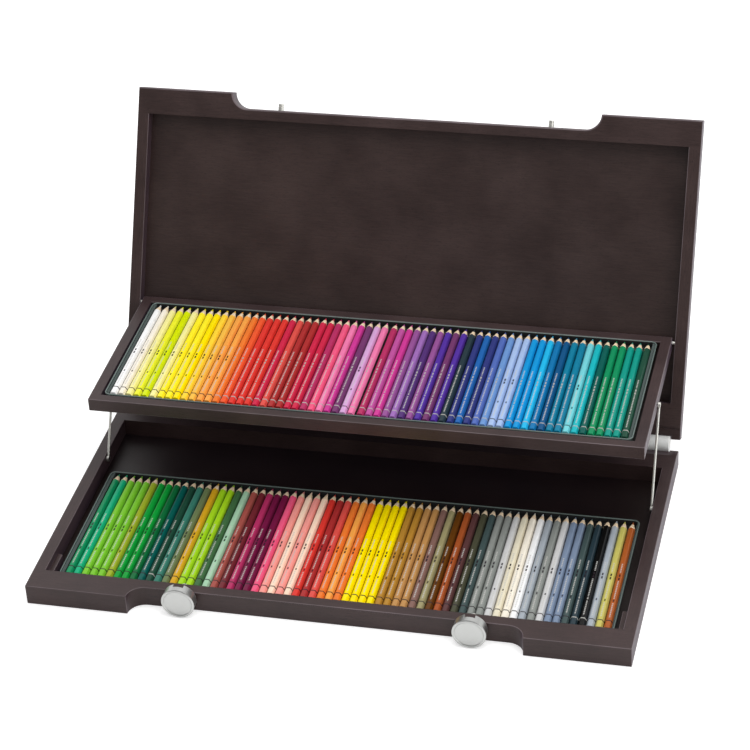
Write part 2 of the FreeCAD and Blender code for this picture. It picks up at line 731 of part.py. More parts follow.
case_boards("base", "base_height", -1, "base_height", "floor_thickness")
case_boards("lid", "lid_rim", 1, "lid_height", "panel_thickness")
for each_side in SIDES:
    hinge(each_side)
    link_rod(each_side)
    knob(each_side)
hinge_screws()
rest_blocks()
tray_boards()
knob_bushings()
latch_pins()
side_pins("tray_pivot_pins", "tray_pin_radius", "tray_half - pin_depth_in_rail",
          "inner_half + pin_depth_in_wall", "hinge_y - tray_arm", "hinge_z + tray_rise")
side_pins("rod_foot_pins", "rod_pin_radius", "tray_half + pin_end_gap",
          "inner_half + pin_depth_in_wall", "rod_foot_y", "rod_foot_height")
side_pins("rod_head_pins", "rod_pin_radius", "tray_half - pin_depth_in_rail",
          "inner_half - pin_end_gap", "rod_head_y", "rod_head_z")
tin("lower_tin", "lower_tin_half", "lower_tin_face", "lower_tin_back", "floor_thickness")
tin("upper_tin", "upper_tin_half", "upper_tin_face", "upper_tin_back", "tray_floor_top")
pencil = master_pencil()
lower_places = places_in_row(size("lower_row_end"), 0, centred=False)
upper_places = places_in_row(size("upper_row_end"), size("upper_row_gap"), centred=True)
pencil_row("lower", LOWER_SHARES, pencil, lower_places, size("lower_tin_back"), size("floor_thickness"))
pencil_row("upper", UPPER_SHARES, pencil, upper_places, size("upper_tin_back"), size("tray_floor_top"))

# The lid's pieces turn open about the hinge axis
axis_point = Vector(0, size("hinge_y"), size("hinge_z"))
opened = Placement(Vector(), Rotation(Vector(1, 0, 0), -size("open_angle")), axis_point)
doc.recompute()
for part in nodes:
    if turns_with_lid(part.Label):
        part.Placement = opened
doc.recompute()

for thing in doc.Objects:
    if {"Invalid", "Error"} & set(thing.State):
        raise ValueError(f"{thing.Name} did not compute")
os.makedirs("parts", exist_ok=True)
for part in nodes:
    if part.Shape.isNull() or not part.Shape.isValid():
        raise ValueError(f"{part.Label} has no valid shape")
for part in nodes:
    part.Shape.exportStep(f"parts/{part.Label}.step")
    print(f"{part.Label}: {len(part.Shape.Solids)} solid(s), {part.Shape.Volume:.1f} mm3")
print(f"{len(nodes)} sub-parts")
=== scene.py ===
"""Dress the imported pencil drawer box: boards, tins, pencils, metal fittings, studio and camera.

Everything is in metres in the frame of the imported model: the origin is the centre of the base's
underside, +X is right, +Y is the hinge side and +Z is up. Sizes in the classes are in millimetres.
"""

import logging
import math
from dataclasses import dataclass, field
from enum import Enum
from typing import Callable, Iterable, Sequence

import bmesh
import bpy
from mathutils import Matrix, Vector


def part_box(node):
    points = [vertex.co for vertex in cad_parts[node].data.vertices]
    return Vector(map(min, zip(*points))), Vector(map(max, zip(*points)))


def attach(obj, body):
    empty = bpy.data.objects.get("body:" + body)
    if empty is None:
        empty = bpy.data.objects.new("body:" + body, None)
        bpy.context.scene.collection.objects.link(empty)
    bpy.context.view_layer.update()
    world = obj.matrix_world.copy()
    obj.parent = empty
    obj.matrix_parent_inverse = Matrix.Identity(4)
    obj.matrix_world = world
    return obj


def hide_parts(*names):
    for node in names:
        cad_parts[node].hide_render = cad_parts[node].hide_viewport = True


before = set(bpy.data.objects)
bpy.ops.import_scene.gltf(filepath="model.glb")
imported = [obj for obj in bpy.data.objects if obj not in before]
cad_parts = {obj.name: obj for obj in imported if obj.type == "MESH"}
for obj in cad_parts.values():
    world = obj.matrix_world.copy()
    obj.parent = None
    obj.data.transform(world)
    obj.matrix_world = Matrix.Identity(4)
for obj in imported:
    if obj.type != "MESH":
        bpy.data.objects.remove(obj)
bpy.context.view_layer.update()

MM = 0.001
CUT_TOLERANCE = 0.001 * MM
WELD = 0.002 * MM
FLAT_WITHIN = math.radians(0.4)
HARD_BEYOND = math.radians(32)
# Crests of a wave texture lie this far apart at a scale of one
WAVE_PERIOD = 0.314
LOG = logging.getLogger("pencil_box")

RIGHT_WAY, BACK_WAY, UP_WAY = (Vector(way) for way in ((1.0, 0.0, 0.0), (0.0, 1.0, 0.0), (0.0, 0.0, 1.0)))
OPEN_ANGLE = math.radians(117.7)
HINGE_AXIS = Vector((0.0, 174.7, 22.6)) * MM
# The lid is drawn shut and then turned open
LID_TURN = (Matrix.Translation(HINGE_AXIS) @ Matrix.Rotation(-OPEN_ANGLE, 4, "X")
            @ Matrix.Translation(-HINGE_AXIS))

Colour = tuple[float, float, float, float]
Pair = tuple[float, float]
Material = bpy.types.Material
Node = bpy.types.Node
Socket = bpy.types.NodeSocket
Tree = bpy.types.NodeTree
Shape = bmesh.types.BMesh
Vert = bmesh.types.BMVert
Edge = bmesh.types.BMEdge
Face = bmesh.types.BMFace


class Side(Enum):
    """The two sides of the case."""

    LEFT = -1
    RIGHT = 1

    @property
    def label(self) -> str:
        """Return the side's word in node names."""
        return self.name.lower()


class Grain(Enum):
    """The way that the grain of a board runs."""

    ALONG_X = "x"
    ALONG_Y = "y"
    ALONG_LID = "lid"


def linear(code: str) -> Colour:
    """Turn an sRGB hex colour to linear values.

    Args:
        code: The colour as #RRGGBB.

    Returns:
        Red, green, blue and an alpha of one.
    """
    values = []
    for start in (1, 3, 5):
        value = int(code[start:start + 2], 16) / 255
        values.append(value / 12.92 if value <= 0.04045 else ((value + 0.055) / 1.055) ** 2.4)
    return (values[0], values[1], values[2], 1.0)


def add(tree: Tree, kind: str, inputs: dict | None = None, stops: Sequence[tuple[float, str]] = (),
        **settings: object) -> Node:
    """Add a shader node with its settings and links.

    Args:
        tree: The node tree that takes the node.
        kind: The node's type, without the word ShaderNode.
        inputs: A value or a linked socket for each input, by name or number.
        stops: The places and hex colours of a colour ramp.
        settings: Properties of the node.

    Returns:
        The new node.
    """
    made = tree.nodes.new("ShaderNode" + kind)
    for name, value in settings.items():
        setattr(made, name, value)
    if stops:
        made.color_ramp.interpolation = "CONSTANT"
        elements = made.color_ramp.elements
        while len(elements) < len(stops):
            elements.new(1.0)
        for element, (place, code) in zip(elements, stops):
            element.position = place
            element.color = linear(code)
    for key, value in (inputs or {}).items():
        socket = made.inputs[key]
        if isinstance(value, Socket):
            tree.links.new(value, socket)
        else:
            socket.default_value = value
    return made


@dataclass(frozen=True)
class Finish:
    """A procedural finish, patterned by the place on the object."""

    name: str

    def shade(self, tree: Tree, place: Socket) -> Node:
        """Return the shader node of the finish.

        Args:
            tree: The material's empty node tree.
            place: The place on the object, in metres.

        Returns:
            The node whose first output is the shader.
        """
        raise NotImplementedError

    def build(self) -> Material:
        """Make a material with this finish.

        Returns:
            The new material.
        """
        made = bpy.data.materials.new(self.name)
        made.use_nodes = True
        tree = made.node_tree
        tree.nodes.clear()
        place = add(tree, "TexCoord").outputs["Object"]
        add(tree, "OutputMaterial", {"Surface": self.shade(tree, place).outputs[0]})
        return made


@dataclass(frozen=True)
class StainedWood(Finish):
    """Stained fine-grained hardwood under a matt lacquer.

    The stain gives the eye a dark mauve brown with faint straight streaks, the open pores give short
    darker dashes, and the eased edges are painted a little lighter, partly as wear and partly as a
    painted highlight.
    """

    grain: Grain
    deep: str = "#2D201E"
    pale: str = "#423230"
    pores: str = "#1E1615"
    # A lighter colour on the eased edges: partly wear, partly a painted highlight
    rubbed_and_highlight: str = "#7C7074"
    streak: Pair = (16.0, 1.1)
    cloud: float = 55.0
    pore: Pair = (4.0, 0.7)
    tone_limits: Pair = (0.66, 1.34)
    pore_limits: Pair = (0.57, 0.7)
    pore_strength: float = 0.55
    roughness: float = 0.38
    sheen: float = 0.1
    sheen_tint: str = "#B49FD0"

    def along(self, length: float, width: float) -> tuple[float, float, float]:
        """Lay a feature of the grain along the board.

        Args:
            length: Its size along the grain, in millimetres.
            width: Its size across the grain.

        Returns:
            Its size on the three axes, in metres.
        """
        if self.grain is Grain.ALONG_X:
            return (length * MM, width * MM, width * MM)
        return (width * MM, length * MM, width * MM)

    def shade(self, tree: Tree, place: Socket) -> Node:
        """Return the shader of the stain, the pores, and the edges' wear and painted highlight.

        Args:
            tree: The material's empty node tree.
            place: The place on the object, in metres.

        Returns:
            The shader, which reads the edges with wear and painted highlight from the mesh's face layer edge.
        """
        turn = (-OPEN_ANGLE, 0.0, 0.0) if self.grain is Grain.ALONG_LID else (0.0, 0.0, 0.0)
        # Streaks about 1 mm wide run the length of a board, and stain lies in soft clouds a few
        # centimetres wide. Pores are 0.1 mm wide on the real wood and are drawn wider, so that they show
        fields = []
        for size, detail, rough in ((self.along(*self.streak), 5.0, 0.62),
                                    (self.along(self.cloud, self.cloud), 2.0, 0.5),
                                    (self.along(*self.pore), 2.0, 0.5)):
            fitted = add(tree, "Mapping", {"Vector": place, "Rotation": turn, "Scale": size},
                         vector_type="TEXTURE").outputs[0]
            fields.append(add(tree, "TexNoise", {"Vector": fitted, "Scale": 1.0, "Detail": detail,
                                                 "Roughness": rough}).outputs["Fac"])
        streaks, clouds, pores = fields
        low, high = self.pore_limits
        open_pores = add(tree, "MapRange", {"Value": pores, "From Min": low, "From Max": high}).outputs[0]
        tone = add(tree, "Math", {0: streaks, 1: clouds}, operation="ADD").outputs[0]
        low, high = self.tone_limits
        level = add(tree, "MapRange", {"Value": tone, "From Min": low, "From Max": high}).outputs[0]
        body = add(tree, "Mix", {0: level, 6: linear(self.deep), 7: linear(self.pale)}, data_type="RGBA")
        share = add(tree, "Math", {0: open_pores, 1: self.pore_strength}, operation="MULTIPLY").outputs[0]
        dark = add(tree, "Mix", {0: share, 6: body.outputs[2], 7: linear(self.pores)}, data_type="RGBA")
        # The eased edges are painted lighter: partly wear, partly a painted highlight along the edge
        edge = add(tree, "Attribute", attribute_name="edge").outputs["Fac"]
        rub_and_highlight_share = add(tree, "Math", {0: edge, 1: clouds}, operation="MULTIPLY").outputs[0]
        colour = add(tree, "Mix", {0: rub_and_highlight_share, 6: dark.outputs[2], 7: linear(self.rubbed_and_highlight)}, data_type="RGBA")
        gloss = add(tree, "MapRange", {"Value": clouds, "From Min": 0.3, "From Max": 0.7,
                                       "To Min": self.roughness - 0.05, "To Max": self.roughness + 0.06})
        relief = add(tree, "Math", {0: streaks, 1: open_pores}, operation="SUBTRACT").outputs[0]
        bump = add(tree, "Bump", {"Height": relief, "Strength": 0.15, "Distance": 0.06 * MM})
        return add(tree, "BsdfPrincipled", {
            "Base Color": colour.outputs[2], "Roughness": gloss.outputs[0], "Normal": bump.outputs[0],
            "IOR": 1.5, "Specular IOR Level": 0.35, "Sheen Weight": self.sheen, "Sheen Roughness": 0.45,
            "Sheen Tint": linear(self.sheen_tint)})


@dataclass(frozen=True)
class PencilLacquer(Finish):
    """Gloss lacquer dipped over a cedar casing, in the colour of each pencil.

    It gives the eye a clear wet colour, with a thin ring near the blunt end, a line of plain foil
    dashes on the top flat, and one small and two bold blocks among them. Places along the pencil and
    off the middle of its top flat are read from the mesh's own map, in millimetres.
    """

    name: str = "dipped_pencil_lacquer"
    span: float = 200.0
    rings: tuple[Pair, ...] = ((10.1, 11.6),)
    dashes: tuple[Pair, ...] = ((15.0, 38.5), (45.0, 73.5), (87.0, 103.0))
    small: tuple[Pair, ...] = ((40.4, 43.2),)
    bold: tuple[Pair, ...] = ((75.6, 79.3), (80.7, 84.4))
    dash_pitch: float = 2.8
    dash_share: float = 0.72
    half_line: float = 0.7
    half_block: float = 0.8
    foil: str = "#BDBBB7"
    foil_strength: float = 0.72
    ink_strength: float = 0.9
    block_strength: float = 0.95
    roughness: float = 0.22
    sheen: float = 0.2

    def bands(self, ranges: Iterable[Pair]) -> list[tuple[float, str]]:
        """Turn places along the pencil to the stops of a ramp.

        Args:
            ranges: Where each band starts and ends, in millimetres.

        Returns:
            Stops that are white within the ranges and black elsewhere.
        """
        stops = [(0.0, "#000000")]
        for start, end in ranges:
            stops += [(start / self.span, "#FFFFFF"), (end / self.span, "#000000")]
        return stops

    def shade(self, tree: Tree, place: Socket) -> Node:
        """Return the shader of the coat and its marks.

        Args:
            tree: The material's empty node tree.
            place: The place on the object, in metres.

        Returns:
            The shader, which reads the colours from the layers tint, mark and sign.
        """
        places = add(tree, "UVMap", uv_map="pencil").outputs[0]
        across, along, _ = add(tree, "SeparateXYZ", {0: places}).outputs
        share = add(tree, "Math", {0: along, 1: self.span}, operation="DIVIDE").outputs[0]
        ring, stamp, small, bold = (add(tree, "ValToRGB", {0: share}, stops=self.bands(ranges)).outputs[0]
                                    for ranges in (self.rings, self.dashes, self.small, self.bold))
        off = add(tree, "Math", {0: across}, operation="ABSOLUTE").outputs[0]
        narrow = add(tree, "Math", {0: off, 1: self.half_line}, operation="LESS_THAN").outputs[0]
        wide = add(tree, "Math", {0: off, 1: self.half_block}, operation="LESS_THAN").outputs[0]
        beat = add(tree, "Math", {0: along, 1: self.dash_pitch}, operation="DIVIDE").outputs[0]
        beat = add(tree, "Math", {0: beat}, operation="FRACT").outputs[0]
        beat = add(tree, "Math", {0: beat, 1: self.dash_share}, operation="LESS_THAN").outputs[0]
        foil = add(tree, "Math", {0: stamp, 1: narrow}, operation="MULTIPLY").outputs[0]
        foil = add(tree, "Math", {0: foil, 1: beat}, operation="MULTIPLY").outputs[0]
        foil = add(tree, "Math", {0: foil, 1: self.foil_strength}, operation="MULTIPLY").outputs[0]
        ink = add(tree, "Math", {0: small, 1: narrow}, operation="MULTIPLY").outputs[0]
        ink = add(tree, "Math", {0: ink, 1: ring}, operation="MAXIMUM").outputs[0]
        ink = add(tree, "Math", {0: ink, 1: self.ink_strength}, operation="MULTIPLY").outputs[0]
        block = add(tree, "Math", {0: bold, 1: wide}, operation="MULTIPLY").outputs[0]
        block = add(tree, "Math", {0: block, 1: self.block_strength}, operation="MULTIPLY").outputs[0]
        tint, mark, sign = (add(tree, "Attribute", attribute_name=name).outputs["Color"]
                            for name in ("tint", "mark", "sign"))
        # The coat is a little thicker in places, which shifts its depth by a few percent
        depth = add(tree, "TexNoise", {"Vector": place, "Scale": 1 / (9 * MM), "Detail": 2.0}).outputs["Fac"]
        depth = add(tree, "MapRange", {"Value": depth, "To Min": 0.93, "To Max": 1.07}).outputs[0]
        colour = add(tree, "Mix", {0: 1.0, 6: tint, 7: depth}, data_type="RGBA", blend_type="MULTIPLY")
        for mask, over in ((foil, linear(self.foil)), (ink, mark), (block, sign)):
            colour = add(tree, "Mix", {0: mask, 6: colour.outputs[2], 7: over}, data_type="RGBA")
        return add(tree, "BsdfPrincipled", {"Base Color": colour.outputs[2], "Roughness": self.roughness,
                                            "Specular IOR Level": self.sheen})


@dataclass(frozen=True)
class CutCedar(Finish):
    """Cedar cut by a sharpener: warm pink brown, with grain along the pencil and fine turning marks."""

    name: str = "sharpened_cedar"
    deep: str = "#D8B88F"
    pale: str = "#F2E2C8"
    grain: Pair = (9.0, 0.5)
    turning: float = 0.6908

    def shade(self, tree: Tree, place: Socket) -> Node:
        """Return the shader of the cut wood.

        Args:
            tree: The material's empty node tree.
            place: The place on the object, in metres.

        Returns:
            The shader.
        """
        length, width = (size * MM for size in self.grain)
        fitted = add(tree, "Mapping", {"Vector": place, "Scale": (width, length, width)},
                     vector_type="TEXTURE").outputs[0]
        grain = add(tree, "TexNoise", {"Vector": fitted, "Scale": 1.0, "Detail": 3.0}).outputs["Fac"]
        level = add(tree, "MapRange", {"Value": grain, "From Min": 0.3, "From Max": 0.7}).outputs[0]
        colour = add(tree, "Mix", {0: level, 6: linear(self.deep), 7: linear(self.pale)}, data_type="RGBA")
        marks = add(tree, "TexWave", {"Vector": place, "Scale": WAVE_PERIOD / (self.turning * MM),
                                      "Distortion": 0.6}, bands_direction="Y").outputs["Fac"]
        bump = add(tree, "Bump", {"Height": marks, "Strength": 0.25, "Distance": 0.03 * MM})
        return add(tree, "BsdfPrincipled", {"Base Color": colour.outputs[2], "Roughness": 0.62,
                                            "Normal": bump.outputs[0]})


@dataclass(frozen=True)
class ColourCore(Finish):
    """A waxy coloured lead, in the pencil's own colour but deeper and softly shining."""

    name: str = "waxy_colour_core"
    grit: float = 0.4

    def shade(self, tree: Tree, place: Socket) -> Node:
        """Return the shader of the core.

        Args:
            tree: The material's empty node tree.
            place: The place on the object, in metres.

        Returns:
            The shader, which reads the colour from the layer tint.
        """
        tint = add(tree, "Attribute", attribute_name="tint").outputs["Color"]
        grit = add(tree, "TexNoise", {"Vector": place, "Scale": 1 / (self.grit * MM),
                                      "Detail": 2.0}).outputs["Fac"]
        level = add(tree, "MapRange", {"Value": grit, "To Min": 0.72, "To Max": 0.98}).outputs[0]
        colour = add(tree, "Mix", {0: 1.0, 6: tint, 7: level}, data_type="RGBA", blend_type="MULTIPLY")
        bump = add(tree, "Bump", {"Height": grit, "Strength": 0.2, "Distance": 0.05 * MM})
        return add(tree, "BsdfPrincipled", {"Base Color": colour.outputs[2], "Roughness": 0.42,
                                            "Normal": bump.outputs[0]})


@dataclass(frozen=True)
class TinEnamel(Finish):
    """Baked enamel on pressed tinplate: a dark grey green with a soft gloss and a slight orange peel."""

    name: str = "baked_tin_enamel"
    deep: str = "#52605C"
    pale: str = "#61706C"
    cloud: float = 30.0
    peel: float = 1.2

    def shade(self, tree: Tree, place: Socket) -> Node:
        """Return the shader of the coat.

        Args:
            tree: The material's empty node tree.
            place: The place on the object, in metres.

        Returns:
            The shader.
        """
        cloud = add(tree, "TexNoise", {"Vector": place, "Scale": 1 / (self.cloud * MM),
                                       "Detail": 3.0}).outputs["Fac"]
        colour = add(tree, "Mix", {0: cloud, 6: linear(self.deep), 7: linear(self.pale)}, data_type="RGBA")
        # Orange peel in a sprayed coat is about 1 mm from crest to crest
        peel = add(tree, "TexNoise", {"Vector": place, "Scale": 1 / (self.peel * MM),
                                      "Detail": 1.0}).outputs["Fac"]
        bump = add(tree, "Bump", {"Height": peel, "Strength": 0.12, "Distance": 0.02 * MM})
        gloss = add(tree, "MapRange", {"Value": cloud, "To Min": 0.26, "To Max": 0.38}).outputs[0]
        return add(tree, "BsdfPrincipled", {"Base Color": colour.outputs[2], "Roughness": gloss,
                                            "Normal": bump.outputs[0], "Coat Weight": 0.35,
                                            "Coat Roughness": 0.18})


@dataclass(frozen=True)
class WorkedMetal(Finish):
    """A metal with fine tool marks, whose colour, polish and lay of the marks are its own.

    Drawn wire and rolled plate show lines along their length, and a turned face shows rings. Plate
    under silver lacquer is only partly metallic, which gives the eye an even pale grey.
    """

    colour: str
    roughness: float
    marks: tuple[float, float, float] = (18.0, 0.25, 0.25)
    rings_about: Pair | None = None
    ring_pitch: float = 1.4
    smear: float = 6.0
    metallic: float = 1.0

    def shade(self, tree: Tree, place: Socket) -> Node:
        """Return the shader of the metal.

        Args:
            tree: The material's empty node tree.
            place: The place on the object, in metres.

        Returns:
            The shader.
        """
        if self.rings_about is None:
            fitted = add(tree, "Mapping", {"Vector": place, "Scale": tuple(size * MM for size in self.marks)},
                         vector_type="TEXTURE").outputs[0]
            lines = add(tree, "TexNoise", {"Vector": fitted, "Scale": 1.0, "Detail": 2.0}).outputs["Fac"]
        else:
            # Turning marks are drawn coarser than real ones, so that they show
            x, z = (value * MM for value in self.rings_about)
            centred = add(tree, "Mapping", {"Vector": place, "Location": (x, 0.0, z)},
                          vector_type="TEXTURE").outputs[0]
            lines = add(tree, "TexWave", {"Vector": centred, "Scale": WAVE_PERIOD / (self.ring_pitch * MM),
                                          "Distortion": 0.4, "Detail": 1.0},
                        wave_type="RINGS", rings_direction="Y").outputs["Fac"]
        smear = add(tree, "TexNoise", {"Vector": place, "Scale": 1 / (self.smear * MM),
                                       "Detail": 3.0}).outputs["Fac"]
        level = add(tree, "Math", {0: lines, 1: smear}, operation="ADD").outputs[0]
        gloss = add(tree, "MapRange", {"Value": level, "From Min": 0.5, "From Max": 1.5,
                                       "To Min": self.roughness - 0.05, "To Max": self.roughness + 0.07})
        shade = add(tree, "MapRange", {"Value": level, "From Min": 0.4, "From Max": 1.6,
                                       "To Min": 0.93, "To Max": 1.03}).outputs[0]
        colour = add(tree, "Mix", {0: 1.0, 6: linear(self.colour), 7: shade}, data_type="RGBA",
                     blend_type="MULTIPLY")
        bump = add(tree, "Bump", {"Height": lines, "Strength": 0.3, "Distance": 0.012 * MM})
        return add(tree, "BsdfPrincipled", {"Base Color": colour.outputs[2], "Metallic": self.metallic,
                                            "Roughness": gloss.outputs[0], "Normal": bump.outputs[0]})


@dataclass(frozen=True)
class ClosedFoam(Finish):
    """Closed-cell foam: dull, with cells that give a fine pitted skin."""

    name: str = "black_foam_as_painted_shade"
    deep: str = "#121314"
    pale: str = "#1E2022"
    cell: float = 0.6

    def shade(self, tree: Tree, place: Socket) -> Node:
        """Return the shader of the foam.

        Args:
            tree: The material's empty node tree.
            place: The place on the object, in metres.

        Returns:
            The shader.
        """
        # Cells are about 0.3 mm across and are drawn at twice that
        cells = add(tree, "TexVoronoi", {"Vector": place, "Scale": 1 / (self.cell * MM)}).outputs["Distance"]
        colour = add(tree, "Mix", {0: cells, 6: linear(self.deep), 7: linear(self.pale)}, data_type="RGBA")
        bump = add(tree, "Bump", {"Height": cells, "Strength": 0.5, "Distance": 0.1 * MM})
        return add(tree, "BsdfPrincipled", {"Base Color": colour.outputs[2], "Roughness": 0.9,
                                            "Normal": bump.outputs[0]})


@dataclass(frozen=True)
class PaleFloor(Finish):
    """Matt studio paper, which the camera sees as white outside the shadow."""

    name: str = "pale_studio_floor"
    deep: str = "#F2F2F2"
    pale: str = "#F6F6F6"
    cloud: float = 40.0
    camera_lift: float = 0.42
    glossy_lift: float = 0.08

    def shade(self, tree: Tree, place: Socket) -> Node:
        """Return the shader of the paper.

        Args:
            tree: The material's empty node tree.
            place: The place on the object, in metres.

        Returns:
            The paper's shader with the light that the camera sees.
        """
        path = add(tree, "LightPath").outputs
        bright = add(tree, "Math", {0: path["Is Camera Ray"], 1: self.camera_lift},
                     operation="MULTIPLY").outputs[0]
        seen = add(tree, "Math", {0: path["Is Glossy Ray"], 1: self.glossy_lift, 2: bright},
                   operation="MULTIPLY_ADD").outputs[0]
        paper = add(tree, "TexNoise", {"Vector": place, "Scale": 1 / (self.cloud * MM)}).outputs["Fac"]
        tone = add(tree, "Mix", {0: paper, 6: linear(self.deep), 7: linear(self.pale)}, data_type="RGBA")
        matt = add(tree, "BsdfDiffuse", {"Color": tone.outputs[2]})
        lift = add(tree, "Emission", {"Color": linear("#FFFFFF"), "Strength": seen})
        return add(tree, "AddShader", {0: matt.outputs[0], 1: lift.outputs[0]})


@dataclass
class Finishes:
    """All finishes of the case, made once."""

    wood: dict[Grain, Material] = field(default_factory=lambda: {
        grain: StainedWood(f"stained_wood_grain_{grain.value}", grain).build() for grain in Grain})
    # The floor panels are stained far darker than the boards, which paints the deep shade under the tray
    shade_darkened_floor_panel: Material = field(default_factory=StainedWood(
        "dark_stained_plywood", Grain.ALONG_X, "#180F0C", "#251915", "#0F0908").build)
    # The lid panel is stained darker than the boards, which paints the shade on the lid's inner face
    lid_panel: Material = field(default_factory=StainedWood(
        "stained_plywood", Grain.ALONG_X, "#2A1D1B", "#3E2F2C").build)
    enamel: Material = field(default_factory=TinEnamel().build)
    # Black foam for the pads, also put on the tins' inner walls, where it paints their shade
    foam: Material = field(default_factory=ClosedFoam().build)
    ledge: Material = field(default_factory=ClosedFoam("grey_green_foam", "#3C4644", "#4B5654").build)
    wire: Material = field(default_factory=WorkedMetal("drawn_steel", "#E0DFD9", 0.4, (0.3, 0.3, 12.0)).build)
    plate: Material = field(default_factory=WorkedMetal(
        "silver_lacquered_plate", "#EDEEEC", 0.55, metallic=0.2).build)
    # A darkened steel for the rods' foot pins, which paints the shade low in the base
    painted_shade_pin: Material = field(default_factory=WorkedMetal(
        "blackened_steel", "#3A3836", 0.45, (0.3, 0.3, 6.0)).build)
    brass: Material = field(default_factory=WorkedMetal(
        "turned_brass", "#C7A25A", 0.32, (0.3, 6.0, 0.3)).build)
    turned: dict[Side, Material] = field(default_factory=lambda: {
        side: WorkedMetal(f"turned_aluminium_{side.label}", "#CACBC9", 0.36,
                          rings_about=(side.value * Knobs.spacing, Knobs.height)).build() for side in Side})
    pencil: tuple[Material, ...] = field(default_factory=lambda: (
        PencilLacquer().build(), CutCedar().build(), ColourCore().build()))


def place_piece(name: str, shape: Shape, body: str, replaced: str, materials: Sequence[Material],
                smooth_below: float = 35.0) -> bpy.types.Object:
    """Turn a bmesh into a piece that rides on its body and stands for a CAD node.

    Args:
        name: The piece's name.
        shape: The finished bmesh, which is freed.
        body: The CAD body that carries it.
        replaced: The CAD node that it stands for.
        materials: Its materials, in the order of its faces' numbers.
        smooth_below: Edges flatter than this angle, in degrees, are shaded smooth.

    Returns:
        The new object.
    """
    mesh = bpy.data.meshes.new(name)
    shape.to_mesh(mesh)
    shape.free()
    for material in materials:
        mesh.materials.append(material)
    mesh.shade_smooth()
    mesh.set_sharp_from_angle(angle=math.radians(smooth_below))
    made = bpy.data.objects.new(name, mesh)
    bpy.context.scene.collection.objects.link(made)
    weighted = made.modifiers.new("weighted_normals", "WEIGHTED_NORMAL")
    weighted.keep_sharp = True
    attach(made, body)
    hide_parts(replaced)
    LOG.info("%s on %s", name, body)
    return made


def dress_node(node: str, material: Material) -> None:
    """Give a material to a CAD node that is shown as it is.

    Args:
        node: The CAD node.
        material: Its material.
    """
    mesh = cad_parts[node].data
    mesh.materials.clear()
    mesh.materials.append(material)
    LOG.info("%s keeps its own shape", node)


def cut(shape: Shape, place: Vector, normal: Vector, faces: Sequence[Face] | None = None) -> None:
    """Divide faces where a plane crosses them.

    Args:
        shape: The shape that they belong to.
        place: A point of the plane, in metres.
        normal: The plane's normal.
        faces: The faces, or None for all of them.
    """
    if faces is None:
        crossed = [*shape.verts, *shape.edges, *shape.faces]
    else:
        crossed = [*dict.fromkeys(item for face in faces for item in (*face.verts, *face.edges, face))]
    bmesh.ops.bisect_plane(shape, geom=crossed, dist=CUT_TOLERANCE, plane_co=place, plane_no=normal)


def draw_out(shape: Shape, faces: list[Face], way: Vector) -> None:
    """Move faces away and leave walls behind them.

    Args:
        shape: The shape that they belong to.
        faces: The faces.
        way: How far they move, in the shape's own units.
    """
    moved = bmesh.ops.extrude_face_region(shape, geom=faces)["geom"]
    bmesh.ops.delete(shape, geom=faces, context="FACES")
    bmesh.ops.translate(shape, vec=way, verts=[item for item in moved if isinstance(item, Vert)])


def step_face(shape: Shape, face: Face, inwards: float, rise: float) -> None:
    """Move a face inwards from its outline and along its normal, in millimetres."""
    bmesh.ops.inset_individual(shape, faces=[face], thickness=inwards * MM, depth=rise * MM,
                               use_even_offset=True)


def round_edges(shape: Shape, edges: list[Edge], width: float, steps: int = 2,
                clamp: bool = True) -> list[Face]:
    """Round edges.

    Args:
        shape: The shape that they belong to.
        edges: The edges.
        width: The width of the rounding, in millimetres.
        steps: How many faces go round each edge.
        clamp: Whether the rounding shrinks where short edges leave it little room.

    Returns:
        The faces of the rounding.
    """
    return bmesh.ops.bevel(shape, geom=edges, offset=width * MM, offset_type="OFFSET", affect="EDGES",
                           segments=steps, profile=0.5, material=-1, clamp_overlap=clamp)["faces"]


@dataclass(frozen=True)
class FlushJoints:
    """The planes where the boards of a frame meet flush, on the case drawn shut.

    Boards meet in planes across one axis, beyond two ends along another.
    """

    across: int
    planes: Pair
    along: int
    ends: Pair
    turn: Matrix = Matrix()
    within: float = 0.05

    def split(self, shape: Shape) -> None:
        """Cut the long edges where the joints begin.

        Args:
            shape: A board of the frame.
        """
        normal = Vector((0.0, 0.0, 0.0))
        normal[self.along] = 1.0
        for end in self.ends:
            cut(shape, self.turn @ (normal * end * MM), normal)

    def holds(self, edge: Edge) -> bool:
        """Find whether an edge lies in a joint.

        Args:
            edge: An edge of a board.

        Returns:
            True for an edge that has to stay sharp.
        """
        places = [self.turn.inverted() @ vert.co / MM for vert in edge.verts]
        low, high = self.ends
        beyond = all(not low + self.within < place[self.along] < high - self.within for place in places)
        return beyond and any(all(abs(place[self.across] - plane) < self.within for place in places)
                              for plane in self.planes)


def eased_copy(node: str, width: float, joints: FlushJoints | None = None,
               lip: tuple[float, Callable[[Edge], bool]] | None = None, clamp: bool = False) -> Shape:
    """Copy a CAD node's shape and round its sharp edges.

    Args:
        node: The CAD node.
        width: The width of the rounding, in millimetres.
        joints: Where the node meets other boards flush, so that its edges stay sharp.
        lip: A wider rounding that is made first, and a function that picks its edges.
        clamp: Whether roundings shrink where short edges leave them little room.

    Returns:
        A bmesh in the place of the node, whose face layer edge is one on the roundings.
    """
    shape = bmesh.new()
    shape.from_mesh(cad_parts[node].data)
    bmesh.ops.remove_doubles(shape, verts=shape.verts, dist=WELD)
    bmesh.ops.dissolve_limit(shape, angle_limit=FLAT_WITHIN, verts=shape.verts, edges=shape.edges)
    if joints:
        joints.split(shape)
    layer = shape.faces.layers.float.new("edge")
    for amount, picks in ([lip] if lip else []) + [(width, None)]:
        hard = [edge for edge in shape.edges
                if len(edge.link_faces) == 2 and edge.calc_face_angle(0.0) > HARD_BEYOND
                and not any(face[layer] for face in edge.link_faces)
                and (picks is None or picks(edge)) and not (joints and joints.holds(edge))]
        for face in round_edges(shape, hard, amount, clamp=clamp):
            face[layer] = 1.0
    return shape


